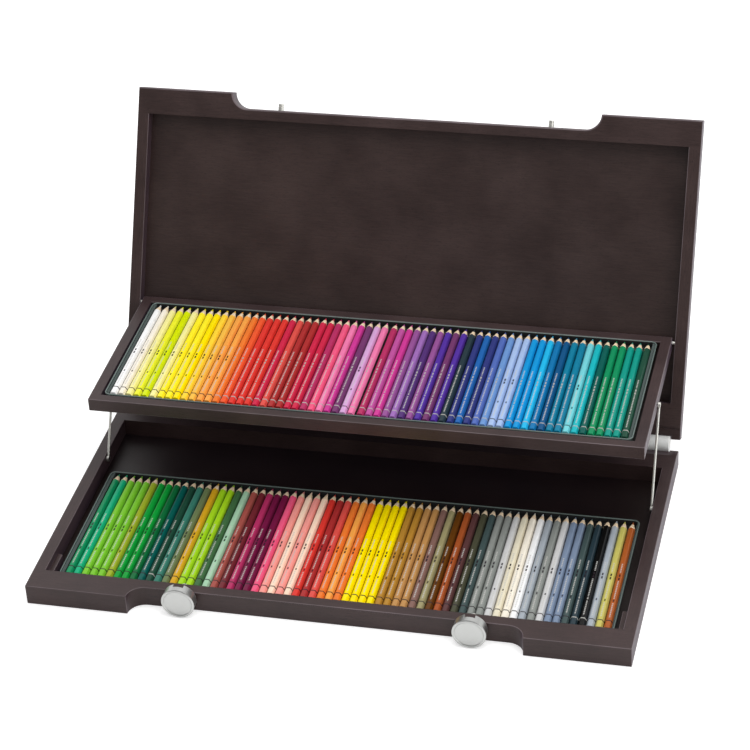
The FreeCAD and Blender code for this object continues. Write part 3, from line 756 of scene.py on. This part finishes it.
@dataclass
class Boards:
    """The boards of the base, the lid and the lifting tray, with eased edges.

    The case's boards meet flush at two depths outside its inner width, and the tray's at two widths
    outside its inner depth. A face of the lid's rim is larger than least_rim, in square millimetres.
    The seam is a fine line on the lid's rear rail, whose bevel reaches up to bevel_end.
    """

    finishes: Finishes
    easing: float = 0.6
    lip_easing: float = 1.8
    least_rim: float = 100.0
    case_joints: Pair = (-141.4, 131.0)
    case_inside: float = 297.3
    tray_joints: float = 282.8
    tray_inside: Pair = (35.74, 220.04)
    seam: Pair = (157.2, 158.0)
    seam_depth: float = 0.7
    bevel_end: float = 27.0

    def joints(self, body: str) -> FlushJoints:
        """Find where the boards of a body's frame meet.

        Args:
            body: The CAD body that carries the frame.

        Returns:
            The planes of its joints.
        """
        if body == "upper_tray":
            return FlushJoints(0, (-self.tray_joints, self.tray_joints), 1, self.tray_inside)
        return FlushJoints(1, self.case_joints, 0, (-self.case_inside, self.case_inside),
                           LID_TURN if body == "lid" else Matrix())

    def on_lip(self, edge: Edge) -> bool:
        """Find whether an edge of the lid bounds its rim at the front or round the finger recess.

        Args:
            edge: An edge of the lid's front rail.

        Returns:
            True for an edge that gets the wider rounding.
        """
        front, up = (LID_TURN.to_3x3() @ way for way in (-BACK_WAY, UP_WAY))
        rims = [abs(face.normal.dot(up)) > 0.99 and face.calc_area() > self.least_rim * MM * MM
                for face in edge.link_faces]
        return rims.count(True) == 1 and edge.link_faces[rims.index(False)].normal.dot(front) > 0.05

    def bevel(self, shape: Shape) -> list[tuple[Face, float]]:
        """Find the faces of the lid's rim and bevel.

        Args:
            shape: The lid's rear rail.

        Returns:
            The faces, and where each lies from front to back on the lid drawn shut, in millimetres.
        """
        up = LID_TURN.to_3x3() @ UP_WAY
        shut = [(face, LID_TURN.inverted() @ face.calc_center_median() / MM) for face in shape.faces
                if face.normal.dot(up) < -0.9]
        return [(face, centre.y) for face, centre in shut if centre.z < self.bevel_end]

    def open_seam(self, shape: Shape) -> None:
        """Sink the fine line that runs the length of the lid's rear rail where its bevel begins.

        Args:
            shape: The rail.
        """
        back, up = (LID_TURN.to_3x3() @ way for way in (BACK_WAY, UP_WAY))
        for place in self.seam:
            cut(shape, LID_TURN @ (BACK_WAY * place * MM), back, [face for face, _ in self.bevel(shape)])
        front_edge, back_edge = self.seam
        line = [face for face, place in self.bevel(shape) if front_edge < place < back_edge]
        draw_out(shape, line, up * self.seam_depth * MM)

    def board(self, node: str, body: str, grain: Grain) -> None:
        """Replace one board by a copy with eased edges.

        Args:
            node: The board's CAD node.
            body: The body that carries it.
            grain: The way that its grain runs.
        """
        lip = (self.lip_easing, self.on_lip) if node == "lid_front_rail" else None
        shape = eased_copy(node, self.easing, self.joints(body), lip)
        if node == "lid_rear_rail":
            self.open_seam(shape)
        place_piece(f"{node}_eased", shape, body, node, [self.finishes.wood[grain]])

    def build(self) -> None:
        """Make all boards and dress the thin panels."""
        for half, side_grain in (("base", Grain.ALONG_Y), ("lid", Grain.ALONG_LID)):
            for place in ("front", "rear"):
                self.board(f"{half}_{place}_rail", half, Grain.ALONG_X)
            for side in Side:
                self.board(f"{half}_{side.label}_wall", half, side_grain)
        for place, grain in (("front", Grain.ALONG_X), ("rear", Grain.ALONG_X),
                             ("left", Grain.ALONG_Y), ("right", Grain.ALONG_Y)):
            self.board(f"tray_{place}_rail", "upper_tray", grain)
        self.board("rest_blocks", "base", Grain.ALONG_Y)
        # The floor panels' darker stain paints the deep shade under the tray
        dress_node("base_floor", self.finishes.shade_darkened_floor_panel)
        dress_node("tray_floor", self.finishes.shade_darkened_floor_panel)
        # The lid panel's darker stain paints the shade on the lid's inner face
        dress_node("lid_panel", self.finishes.lid_panel)


@dataclass
class Tin:
    """A pressed tin with a rolled rim, inner walls painted black as shade, and the foam pad on its floor.

    The tin is drawn from a slab at the middle of its rim, half_start thick above and below. A foot
    is the rounding between a wall and the floor, in steps inwards and along the face's normal. The
    pad is black foam, which also paints the deep shade behind the pencils' tips, and has a ledge of
    grey green foam at each end, beyond the row of pencils.
    """

    finishes: Finishes
    name: str
    body: str
    ledges: Pair
    sheet: float = 0.5
    bead: float = 1.2
    bead_height: float = 1.6
    corner: float = 6.5
    corner_steps: int = 8
    roll_steps: int = 6
    half_start: float = 0.05
    inner_foot: tuple[Pair, ...] = ((0.4, -0.7), (0.7, -0.3))
    outer_foot: tuple[Pair, ...] = ((0.5, 0.9), (0.9, 0.3))
    pad_thickness: float = 3.5
    pad_gap: float = 0.3
    pad_easing: float = 0.3
    ledge_drop: float = 0.9

    @property
    def wall(self) -> float:
        """Return the width of the rolled rim."""
        return self.bead + self.sheet

    def slab(self, low: Vector, high: Vector, corner: float) -> Shape:
        """Draw a block with rounded upright edges.

        Args:
            low: Its lowest corner, in millimetres.
            high: Its highest corner.
            corner: The radius of its upright edges.

        Returns:
            The block.
        """
        shape = bmesh.new()
        centre, extent = (low + high) / 2 * MM, (high - low) * MM
        fitted = Matrix.Translation(centre) @ Matrix.Diagonal((*extent, 1))
        bmesh.ops.create_cube(shape, size=1.0, matrix=fitted)
        upright = [edge for edge in shape.edges
                   if abs(edge.verts[0].co.z - edge.verts[1].co.z) > extent.z / 2]
        round_edges(shape, upright, corner, self.corner_steps)
        return shape

    def pressing(self, low: Vector, high: Vector) -> Shape:
        """Draw the tin, whose inner walls have the second material, a black that paints their shade.

        Args:
            low: The tin's lowest corner, in millimetres.
            high: Its highest corner.

        Returns:
            The tin.
        """
        start = self.half_start
        middle = high.z - self.bead_height / 2
        shape = self.slab(Vector((low.x, low.y, middle - start)), Vector((high.x, high.y, middle + start)),
                          self.corner)
        upper = max(shape.faces, key=lambda face: face.normal.z)
        under = min(shape.faces, key=lambda face: face.normal.z)
        roll = self.bead_height / 2 - start
        angles = [math.pi * index / (2 * self.roll_steps) for index in range(2 * self.roll_steps + 1)]
        for here, there in zip(angles, angles[1:]):
            step_face(shape, upper, self.wall / 2 * (math.cos(here) - math.cos(there)),
                      roll * (math.sin(there) - math.sin(here)))
        rim = set(shape.faces)
        foot = -sum(rise for _, rise in self.inner_foot)
        for inwards, rise in ((0.0, low.z + self.sheet + foot - middle - start), *self.inner_foot):
            step_face(shape, upper, inwards, rise)
        for face in shape.faces:
            face.material_index = int(face not in rim)
        quarter = angles[:self.roll_steps + 1]
        for here, there in zip(quarter, quarter[1:]):
            step_face(shape, under, self.bead * (math.cos(here) - math.cos(there)),
                      roll * (math.sin(there) - math.sin(here)))
        foot = sum(rise for _, rise in self.outer_foot)
        for inwards, rise in ((0.0, middle - start - roll - low.z - foot), *self.outer_foot):
            step_face(shape, under, inwards, rise)
        return shape

    def pad(self, low: Vector, high: Vector) -> Shape:
        """Draw the foam pad, whose ledges have the second material.

        Args:
            low: The tin's lowest corner, in millimetres.
            high: Its highest corner.

        Returns:
            The pad.
        """
        inset = self.wall + self.pad_gap
        floor = low.z + self.sheet
        pad_top = floor + self.pad_thickness
        shape = self.slab(Vector((low.x + inset, low.y + inset, floor)),
                          Vector((high.x - inset, high.y - inset, pad_top)), self.corner - self.wall)
        for place in self.ledges:
            cut(shape, RIGHT_WAY * (place * MM), RIGHT_WAY)
        left, right = (place * MM for place in self.ledges)
        ends = [face for face in shape.faces if face.normal.z > 0.9
                and not left < face.calc_center_median().x < right]
        draw_out(shape, ends, UP_WAY * ((high.z - self.ledge_drop - pad_top) * MM))
        for face in shape.faces:
            face.material_index = int(any(vert.co.z > (pad_top + 1) * MM for vert in face.verts))
        hard = [edge for edge in shape.edges if edge.calc_face_angle(0.0) > math.radians(60)]
        round_edges(shape, hard, self.pad_easing)
        return shape

    def build(self) -> None:
        """Make the tin and its pad."""
        low, high = (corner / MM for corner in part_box(self.name))
        # The tin's inner walls take the black foam, which paints the shade inside the tin
        place_piece(f"{self.name}_rolled", self.pressing(low, high), self.body, self.name,
                    [self.finishes.enamel, self.finishes.foam])
        liner = place_piece(f"{self.name}_pad", self.pad(low, high), self.body,
                            f"{self.name}_liner", [self.finishes.foam, self.finishes.ledge])


@dataclass
class PencilRow:
    """A row of sharpened hexagonal pencils, each group of colours one piece.

    first is the middle of the first pencil, start_y the blunt ends and axis_z the height of the axes.
    A coat brighter than the limits in dark_inks carries dark ink on its ring and on its blocks.
    """

    finishes: Finishes
    row: str
    body: str
    groups: dict[str, str]
    first: float
    start_y: float
    axis_z: float
    gap: float = 0.0
    gap_after: int = 0
    dark_inks: Pair = (0.05, 0.0)
    dark_ink: str = "#2A2329"
    pale_ink: str = "#A9A7A2"
    flats: float = 7.3
    length: float = 177.5
    barrel_ring: float = 71.0
    side_gap: float = 0.14
    cone: float = 15.0
    core: float = 1.65
    core_middle: float = 0.8
    point: float = 0.35
    end_steps: tuple[Pair, ...] = ((0.35, 0.12), (1.3, 0.0))
    per_side: tuple[float, ...] = (-24.0, -9.0, 9.0, 24.0)
    off_flat: float = 9.0

    @property
    def corner(self) -> float:
        """Return the radius of the hexagon's corners."""
        return self.flats / math.sqrt(3)

    def on_hexagon(self, angle: float) -> float:
        """Return the distance from the axis to the hexagon's side at an angle."""
        off = (angle - math.radians(90) + math.radians(30)) % math.radians(60) - math.radians(30)
        return self.flats / 2 / math.cos(off)

    def on_cone(self, radius: float) -> float:
        """Return the place along the pencil where the sharpened cone has a radius."""
        return self.length - self.cone * (radius - self.point) / (self.corner - self.point)

    def ring(self, shape: Shape, edges: list[Edge], radius: float | None, place: float | None,
             number: int) -> list[Edge]:
        """Draw a ring of edges on along the pencil.

        Args:
            shape: The pencil.
            edges: The last ring.
            radius: The new ring's radius, or None for the hexagon.
            place: Its place along the pencil, or None for the cone's.
            number: The material of the faces between the rings.

        Returns:
            The new ring.
        """
        grown = bmesh.ops.extrude_edge_only(shape, edges=edges)["geom"]
        fresh = {item for item in grown if isinstance(item, Vert)}
        for vert in fresh:
            angle = math.atan2(vert.co.z, vert.co.x)
            reach = radius or self.on_hexagon(angle)
            along = self.on_cone(reach) if place is None else place
            vert.co = Vector((reach * math.cos(angle), along, reach * math.sin(angle)))
        for item in grown:
            if isinstance(item, Face):
                item.material_index = number
        return [item for item in grown if isinstance(item, Edge) and fresh.issuperset(item.verts)]

    def master(self) -> bpy.types.Mesh:
        """Draw the pencil that all others repeat.

        Returns:
            Its mesh, with the axis along y and the blunt end at the origin.
        """
        shape = bmesh.new()
        angles = [math.radians(90 + 60 * side + step) for side in range(6) for step in self.per_side]
        outline = bmesh.ops.create_circle(shape, cap_ends=True, segments=len(angles), radius=self.corner,
                                          matrix=Matrix.Rotation(math.radians(90), 4, "X"))["verts"]
        for vert, angle in zip(outline, angles):
            radius = self.on_hexagon(angle)
            vert.co = Vector((radius * math.cos(angle), 0.0, radius * math.sin(angle)))
        end = outline[0].link_faces[0]
        edges = list(shape.edges)
        # Lacquer to the scalloped line, then cut cedar, then the bare core
        for radius, place, number in ((None, self.barrel_ring, 0), (None, None, 0), (self.core, None, 1),
                                      (self.core_middle, None, 2), (self.point, None, 2)):
            edges = self.ring(shape, edges, radius, place, number)
        bmesh.ops.contextual_create(shape, geom=edges, mat_nr=2)
        for inwards, rise in self.end_steps:
            bmesh.ops.inset_individual(shape, faces=[end], thickness=inwards, depth=rise,
                                       use_even_offset=True)
        bmesh.ops.recalc_face_normals(shape, faces=shape.faces)
        layer = shape.loops.layers.uv.new("pencil")
        for face in shape.faces:
            for loop in face.loops:
                across = loop.vert.co.x if face.normal.z > 0.97 else self.off_flat
                loop[layer].uv = (across, loop.vert.co.y)
        bmesh.ops.scale(shape, vec=(MM, MM, MM), verts=shape.verts)
        made = bpy.data.meshes.new("pencil_master")
        shape.to_mesh(made)
        shape.free()
        return made

    def build(self) -> None:
        """Lay the pencils of each group and colour them."""
        master = self.master()
        pitch = 2 * self.corner + self.side_gap
        index = 0
        for group, names in self.groups.items():
            shape = bmesh.new()
            layers = [shape.verts.layers.float_color.new(name) for name in ("tint", "mark", "sign")]
            for name in names.split():
                before = len(shape.verts)
                shape.from_mesh(master)
                shape.verts.ensure_lookup_table()
                fresh = shape.verts[before:]
                x = self.first + index * pitch + (self.gap if index >= self.gap_after else 0.0)
                bmesh.ops.translate(shape, vec=Vector((x, self.start_y, self.axis_z)) * MM, verts=fresh)
                colour = linear(LACQUERS[name])
                bright = 0.3 * colour[0] + 0.6 * colour[1] + 0.1 * colour[2]
                inks = [linear(self.dark_ink if bright > limit else self.pale_ink)
                        for limit in self.dark_inks]
                for layer, value in zip(layers, (colour, *inks)):
                    for vert in fresh:
                        vert[layer] = value
                index += 1
            place_piece(f"{self.row}_{group}_row", shape, self.body,
                        f"{self.row}_pencils_{group}", self.finishes.pencil, smooth_below=24.0)
        bpy.data.meshes.remove(master)


@dataclass
class Hinges:
    """The two knuckle hinges and their screws.

    A screw's dome is given by radii and heights from its slotted top down to the leaf. The slots
    are turned by so many radians from screw to screw and from side to side.
    """

    finishes: Finishes
    leaf_easing: float = 0.35
    behind: float = 172.0
    heights: Pair = (9.7, 35.5)
    centre: float = 259.5
    spacing: float = 29.0
    turns: Pair = (0.7, 0.4)
    dome: tuple[Pair, ...] = ((2.55, 1.3), (3.0, 0.65), (3.0, 0.0))
    top: float = 1.6
    slot_end: float = 1.75
    half_slot: float = 0.28
    corner_share: float = 0.72
    recess: float = 0.55

    def screw(self, shape: Shape, place: Matrix) -> None:
        """Add one domed screw head with a cross recess.

        Args:
            shape: The shape that takes the head.
            place: Where it goes, from millimetres about the foot of its axis, which is z.
        """
        before = set(shape.verts)
        bmesh.ops.create_grid(shape, x_segments=3, y_segments=3, size=1.0)
        for vert in shape.verts:
            if vert not in before:
                x, y = (math.copysign(self.half_slot if abs(value) < 0.5 else self.slot_end, value)
                        for value in vert.co.xy)
                share = self.corner_share if min(abs(x), abs(y)) > self.half_slot else 1.0
                vert.co = Vector((x * share, y * share, self.top))
        faces = [face for face in shape.faces if face.verts[0] not in before]
        cross = [face for face in faces
                 if min(abs(value) for value in face.calc_center_median().xy) < self.half_slot / 2]
        rim = [edge for face in faces for edge in face.edges if len(edge.link_faces) == 1]
        for radius, height in self.dome:
            grown = bmesh.ops.extrude_edge_only(shape, edges=rim)["geom"]
            fresh = {item for item in grown if isinstance(item, Vert)}
            for vert in fresh:
                x, y = vert.co.xy.normalized() * radius
                vert.co = Vector((x, y, height))
            rim = [item for item in grown if isinstance(item, Edge) and fresh.issuperset(item.verts)]
        draw_out(shape, cross, -UP_WAY * self.recess)
        bmesh.ops.transform(shape, matrix=place, verts=[vert for vert in shape.verts if vert not in before])

    def build(self) -> None:
        """Make the leaves and screws and dress the pins."""
        upright = Matrix.Rotation(math.radians(-90), 4, "X")
        by_step, by_side = self.turns
        for half, height in zip(("base", "lid"), self.heights):
            shape = bmesh.new()
            for side in Side:
                node = f"{side.label}_hinge_{half}_leaf"
                place_piece(f"{node}_eased", eased_copy(node, self.leaf_easing), half,
                            node, [self.finishes.plate])
                for step in (-1, 0, 1):
                    spot = Vector((side.value * self.centre + step * self.spacing, self.behind, height)) * MM
                    turn = Matrix.Rotation(by_step * step + by_side * side.value, 4, "Z")
                    self.screw(shape, Matrix.Translation(spot) @ upright @ turn @ Matrix.Scale(MM, 4))
            bmesh.ops.recalc_face_normals(shape, faces=shape.faces)
            if half == "lid":
                bmesh.ops.transform(shape, matrix=LID_TURN, verts=shape.verts)
            place_piece(f"{half}_hinge_screw_heads", shape, half, f"{half}_hinge_screws",
                        [self.finishes.wire])
        for side in Side:
            dress_node(f"{side.label}_hinge_pin", self.finishes.wire)


@dataclass
class Linkage:
    """The link rods and the pins that they and the tray turn on."""

    finishes: Finishes
    rod_easing: float = 0.22

    def build(self) -> None:
        """Make the rods and dress the pins."""
        for side in Side:
            node = f"{side.label}_rod"
            place_piece(f"{node}_eased", eased_copy(node, self.rod_easing, clamp=True), node,
                        node, [self.finishes.wire])
        # The foot pins take the darkened steel, which paints the shade that they sit in
        dress_node("rod_foot_pins", self.finishes.painted_shade_pin)
        for node in ("rod_head_pins", "tray_pivot_pins"):
            dress_node(node, self.finishes.wire)


@dataclass
class Knobs:
    """The two turn knobs with their spindles, rings and bushings, and the lid's latch pins.

    The crown is the steps from the knob's flat face to the slight swell at its middle.
    """

    finishes: Finishes
    spacing: float = 149.0
    height: float = 17.8
    front: float = -168.3
    easing: float = 0.3
    rim_inner: float = 16.0
    rim_easing: float = 1.1
    crown: tuple[Pair, ...] = ((0.1, -0.2), (0.25, 0.0), (0.2, 0.2), (3.0, 0.14), (4.0, 0.06))
    pin_radius: float = 3.0
    pin_front: float = -160.5
    pin_seat: float = -145.1
    pin_rise: float = 28.7
    chamfer: float = 0.5
    neck: Pair = (2.4, 3.6)
    neck_slope: float = 0.3
    neck_depth: float = 0.35

    def on_rim(self, edge: Edge) -> bool:
        """Find whether an edge runs round the front of a knob where its face meets its side.

        Args:
            edge: An edge of a knob.

        Returns:
            True for an edge that gets the wider rounding.
        """
        spans = [math.hypot(abs(vert.co.x) / MM - self.spacing, vert.co.z / MM - self.height)
                 for vert in edge.verts]
        return min(spans) > self.rim_inner and all(vert.co.y / MM < self.front + 0.1 for vert in edge.verts)

    def latch_pins(self) -> Shape:
        """Turn the pair of pins, each with a chamfered end and a shallow neck.

        Returns:
            Both pins, in their places on the open lid.
        """
        shape = bmesh.new()
        front, radius = self.pin_front, self.pin_radius
        near, far = (front + place for place in self.neck)
        thin = radius - self.neck_depth
        profile = ((front, 0.0), (front, radius - self.chamfer), (front + self.chamfer, radius),
                   (near, radius), (near + self.neck_slope, thin), (far - self.neck_slope, thin),
                   (far, radius), (self.pin_seat, radius), (self.pin_seat, 0.0))
        for side in Side:
            centre = Vector((side.value * self.spacing, 0.0, self.pin_rise)) * MM
            line = [shape.verts.new(centre + Vector((0.0, y, r)) * MM) for y, r in profile]
            edges = [shape.edges.new(pair) for pair in zip(line, line[1:])]
            bmesh.ops.spin(shape, geom=line + edges, cent=centre, axis=BACK_WAY, angle=math.tau, steps=32,
                           use_merge=True)
        bmesh.ops.remove_doubles(shape, verts=shape.verts, dist=CUT_TOLERANCE)
        bmesh.ops.recalc_face_normals(shape, faces=shape.faces)
        bmesh.ops.transform(shape, matrix=LID_TURN, verts=shape.verts)
        return shape

    def build(self) -> None:
        """Make the knobs and pins and dress the turned parts behind them."""
        for side in Side:
            node = f"{side.label}_knob"
            shape = eased_copy(node, self.easing, lip=(self.rim_easing, self.on_rim))
            dish = max((face for face in shape.faces if face.normal.y < -0.99),
                       key=lambda face: face.calc_area())
            for inwards, rise in self.crown:
                step_face(shape, dish, inwards, rise)
            place_piece(f"{node}_eased", shape, node, node, [self.finishes.turned[side]])
            for part in ("spindle", "ring"):
                dress_node(f"{node}_{part}", self.finishes.wire)
        dress_node("knob_bushings", self.finishes.brass)
        place_piece("latch_pins_turned", self.latch_pins(), "lid", "latch_pins",
                    [self.finishes.wire])


@dataclass(frozen=True)
class Lamp:
    """A square soft lamp, with its place and size in metres and its power in watts."""

    name: str
    place: tuple[float, float, float]
    aim: tuple[float, float, float]
    size: float
    power: float

    def hang(self) -> None:
        """Hang the lamp so that it points at its aim."""
        light = bpy.data.lights.new(self.name, "AREA")
        light.shape = "SQUARE"
        light.size = self.size
        light.energy = self.power
        made = bpy.data.objects.new(self.name, light)
        made.location = self.place
        made.rotation_euler = (Vector(self.aim) - Vector(self.place)).to_track_quat("-Z", "Y").to_euler()
        bpy.context.scene.collection.objects.link(made)


@dataclass
class Studio:
    """The floor, the light and the camera, in metres and radians."""

    floor_size: float = 6.0
    floor_drop: float = 0.0002
    sky_way: tuple[float, float, float] = (0.0, 0.5, 0.86)
    sky_limits: Pair = (-0.3, 0.7)
    sky_levels: Pair = (0.33, 1.0)
    room_limits: Pair = (-0.35, 0.25)
    room_levels: Pair = (0.3, 1.0)
    lamps: tuple[Lamp, ...] = (Lamp("key_lamp", (0.5, 0.1, 2.4), (0.0, 0.05, 0.05), 2.0, 24.0),
                               Lamp("side_lamp", (2.3, -0.9, 0.9), (0.2, 0.1, 0.05), 1.2, 12.0))
    lens: float = 129.944
    sensor: float = 36.0
    spot: tuple[float, float, float] = (0.6038, -2.18167, 1.7003)
    heading: float = 0.2754
    tilt: float = -0.5986
    roll: float = -0.0716
    shift: float = 0.04667

    def floor(self) -> None:
        """Lay the floor a hair below the object's underside."""
        shape = bmesh.new()
        bmesh.ops.create_grid(shape, x_segments=1, y_segments=1, size=self.floor_size,
                              matrix=Matrix.Translation(-UP_WAY * self.floor_drop))
        mesh = bpy.data.meshes.new("studio_floor")
        shape.to_mesh(mesh)
        shape.free()
        mesh.materials.append(PaleFloor().build())
        floor = bpy.data.objects.new("studio_floor", mesh)
        bpy.context.scene.collection.objects.link(floor)

    def world(self) -> None:
        """Surround the object with even light that the camera and glossy surfaces see as white."""
        world = bpy.data.worlds.new("studio_world")
        world.use_nodes = True
        tree = world.node_tree
        tree.nodes.clear()
        path = add(tree, "LightPath").outputs
        way = add(tree, "TexCoord").outputs["Generated"]
        # Soft light falls from above and behind, and less of it comes from the front. Glossy rays meet
        # a white backdrop behind the object and a dim room in front of it
        height = add(tree, "VectorMath", {0: way, 1: self.sky_way}, operation="DOT_PRODUCT").outputs["Value"]
        behind = add(tree, "SeparateXYZ", {0: way}).outputs["Y"]
        soft, room = (add(tree, "MapRange", {"Value": value, "From Min": limits[0], "From Max": limits[1],
                                             "To Min": levels[0], "To Max": levels[1]}).outputs[0]
                      for value, limits, levels in ((height, self.sky_limits, self.sky_levels),
                                                    (behind, self.room_limits, self.room_levels)))
        level = add(tree, "Mix", {0: path["Is Glossy Ray"], 2: soft, 3: room}).outputs[0]
        total = add(tree, "Mix", {0: path["Is Camera Ray"], 2: level, 3: 1.0}).outputs[0]
        sky = add(tree, "Background", {"Color": linear("#FFFFFF"), "Strength": total})
        add(tree, "OutputWorld", {"Surface": sky.outputs[0]})
        bpy.context.scene.world = world

    def camera(self) -> None:
        """Set the camera at the photograph's viewing angle."""
        data = bpy.data.cameras.new("camera")
        data.lens = self.lens
        data.sensor_width = self.sensor
        data.shift_x = self.shift
        data.shift_y = self.shift
        data.clip_start, data.clip_end = 0.1, 50.0
        made = bpy.data.objects.new("camera", data)
        turn = (Matrix.Rotation(self.heading, 4, "Z") @ Matrix.Rotation(math.radians(90) + self.tilt, 4, "X")
                @ Matrix.Rotation(self.roll, 4, "Z"))
        made.matrix_world = Matrix.Translation(self.spot) @ turn
        bpy.context.scene.collection.objects.link(made)
        bpy.context.scene.camera = made

    def build(self) -> None:
        """Set up the whole studio."""
        self.floor()
        self.world()
        for lamp in self.lamps:
            lamp.hang()
        self.camera()
        bpy.context.scene.view_settings.view_transform = "Standard"


# The lacquers that the pencils share
LACQUERS = {
    "white": "#F0F0F0", "ivory": "#F0E8D8", "cream": "#E0D8C0", "pearl": "#C8C8C8",
    "primrose": "#F0E898", "citron": "#E8E830", "lime": "#D0E000", "lemon": "#F8E828",
    "yellow": "#F8E000", "gold": "#F8D038", "maize": "#F0B848", "apricot": "#F0A048",
    "orange": "#E87830", "vermilion": "#E85830", "scarlet": "#D83830", "ruby": "#C82848",
    "coral": "#D85048", "brick": "#A83030", "rose": "#E85880", "pink": "#E878A8",
    "magenta": "#C83890", "raspberry": "#B03060", "plum": "#703868", "lilac": "#D0A0D0",
    "orchid": "#B85098", "mauve": "#905090", "lavender": "#9868B0", "violet": "#503098",
    "aubergine": "#503070", "ink": "#283840", "navy": "#303878", "cobalt": "#2060A8",
    "periwinkle": "#5068B0", "cornflower": "#6890C8", "powder": "#A0B8E0", "azure": "#1090D0",
    "sky": "#20B0E0", "cerulean": "#1070A8", "marine": "#105080", "petrol": "#107898",
    "aqua": "#70C8D0", "turquoise": "#18B0B8", "bottle": "#085850", "emerald": "#108858",
    "teal": "#109080", "pine": "#204838", "mint": "#10A878", "leaf": "#78C030",
    "moss": "#98A828", "grass": "#109838", "forest": "#106838", "fern": "#406840",
    "verdigris": "#387868", "olive": "#687850", "mustard": "#D0A020", "apple": "#A0D020",
    "celadon": "#A0C8A8", "sienna": "#A05048", "oxblood": "#702830", "burgundy": "#701840",
    "blush": "#F09890", "shell": "#F8D8C0", "ochre": "#B08030", "tan": "#B88850",
    "cocoa": "#806058", "khaki": "#989068", "umber": "#603810", "rust": "#A05028",
    "bark": "#583838", "charcoal": "#484838", "slate": "#405050", "grey": "#888C88",
    "steel": "#7888A0", "silver": "#A0A8B0", "black": "#101010", "brass": "#C0B860",
    "copper": "#A85828",
}
# The lacquer of each pencil from left to right, a group of one colour family to a line
UPPER_COLOURS = {
    "lemon": "white ivory primrose citron lime primrose lemon lemon",
    "orange": "yellow gold maize apricot apricot orange vermilion scarlet",
    "red": "scarlet scarlet ruby coral brick brick ruby ruby",
    "pink": "raspberry rose pink magenta plum lilac pink raspberry",
    "purple": "orchid magenta mauve lavender aubergine mauve violet plum",
    "blue": "violet ink navy cobalt navy periwinkle cornflower powder",
    "cyan": "powder azure azure sky cerulean marine petrol petrol",
    "teal": "aqua turquoise bottle emerald emerald teal teal pine",
}
LOWER_COLOURS = {
    "green": "emerald mint leaf leaf leaf moss grass grass",
    "dark_green": "forest bottle pine verdigris olive mustard apple apple fern",
    "berry": "celadon sienna oxblood raspberry burgundy burgundy rose blush",
    "coral": "shell blush shell scarlet brick coral orange apricot orange",
    "yellow": "yellow yellow yellow yellow ochre ochre tan tan",
    "brown": "cocoa khaki umber rust bark charcoal slate grey",
    "grey": "grey pearl cream ivory white silver grey pearl",
    "slate": "steel steel slate ink black silver brass copper",
}


def main() -> None:
    """Build every sub-assembly in order."""
    logging.basicConfig(level=logging.INFO, format="%(name)s: %(message)s")
    finishes = Finishes()
    Boards(finishes).build()
    Tin(finishes, "lower_tin", "base", ledges=(-281.8, 284.2)).build()
    Tin(finishes, "upper_tin", "upper_tray", ledges=(-275.2, 275.2)).build()
    PencilRow(finishes, "lower", "base", LOWER_COLOURS, first=-277.275, start_y=-131.6, axis_z=11.15).build()
    PencilRow(finishes, "upper", "upper_tray", UPPER_COLOURS, first=-270.731, start_y=39.8404,
              axis_z=119.9086, gap=1.6, gap_after=31, dark_inks=(0.45, 0.45)).build()
    Hinges(finishes).build()
    Linkage(finishes).build()
    Knobs(finishes).build()
    Studio().build()


if __name__ == "__main__":
    main()
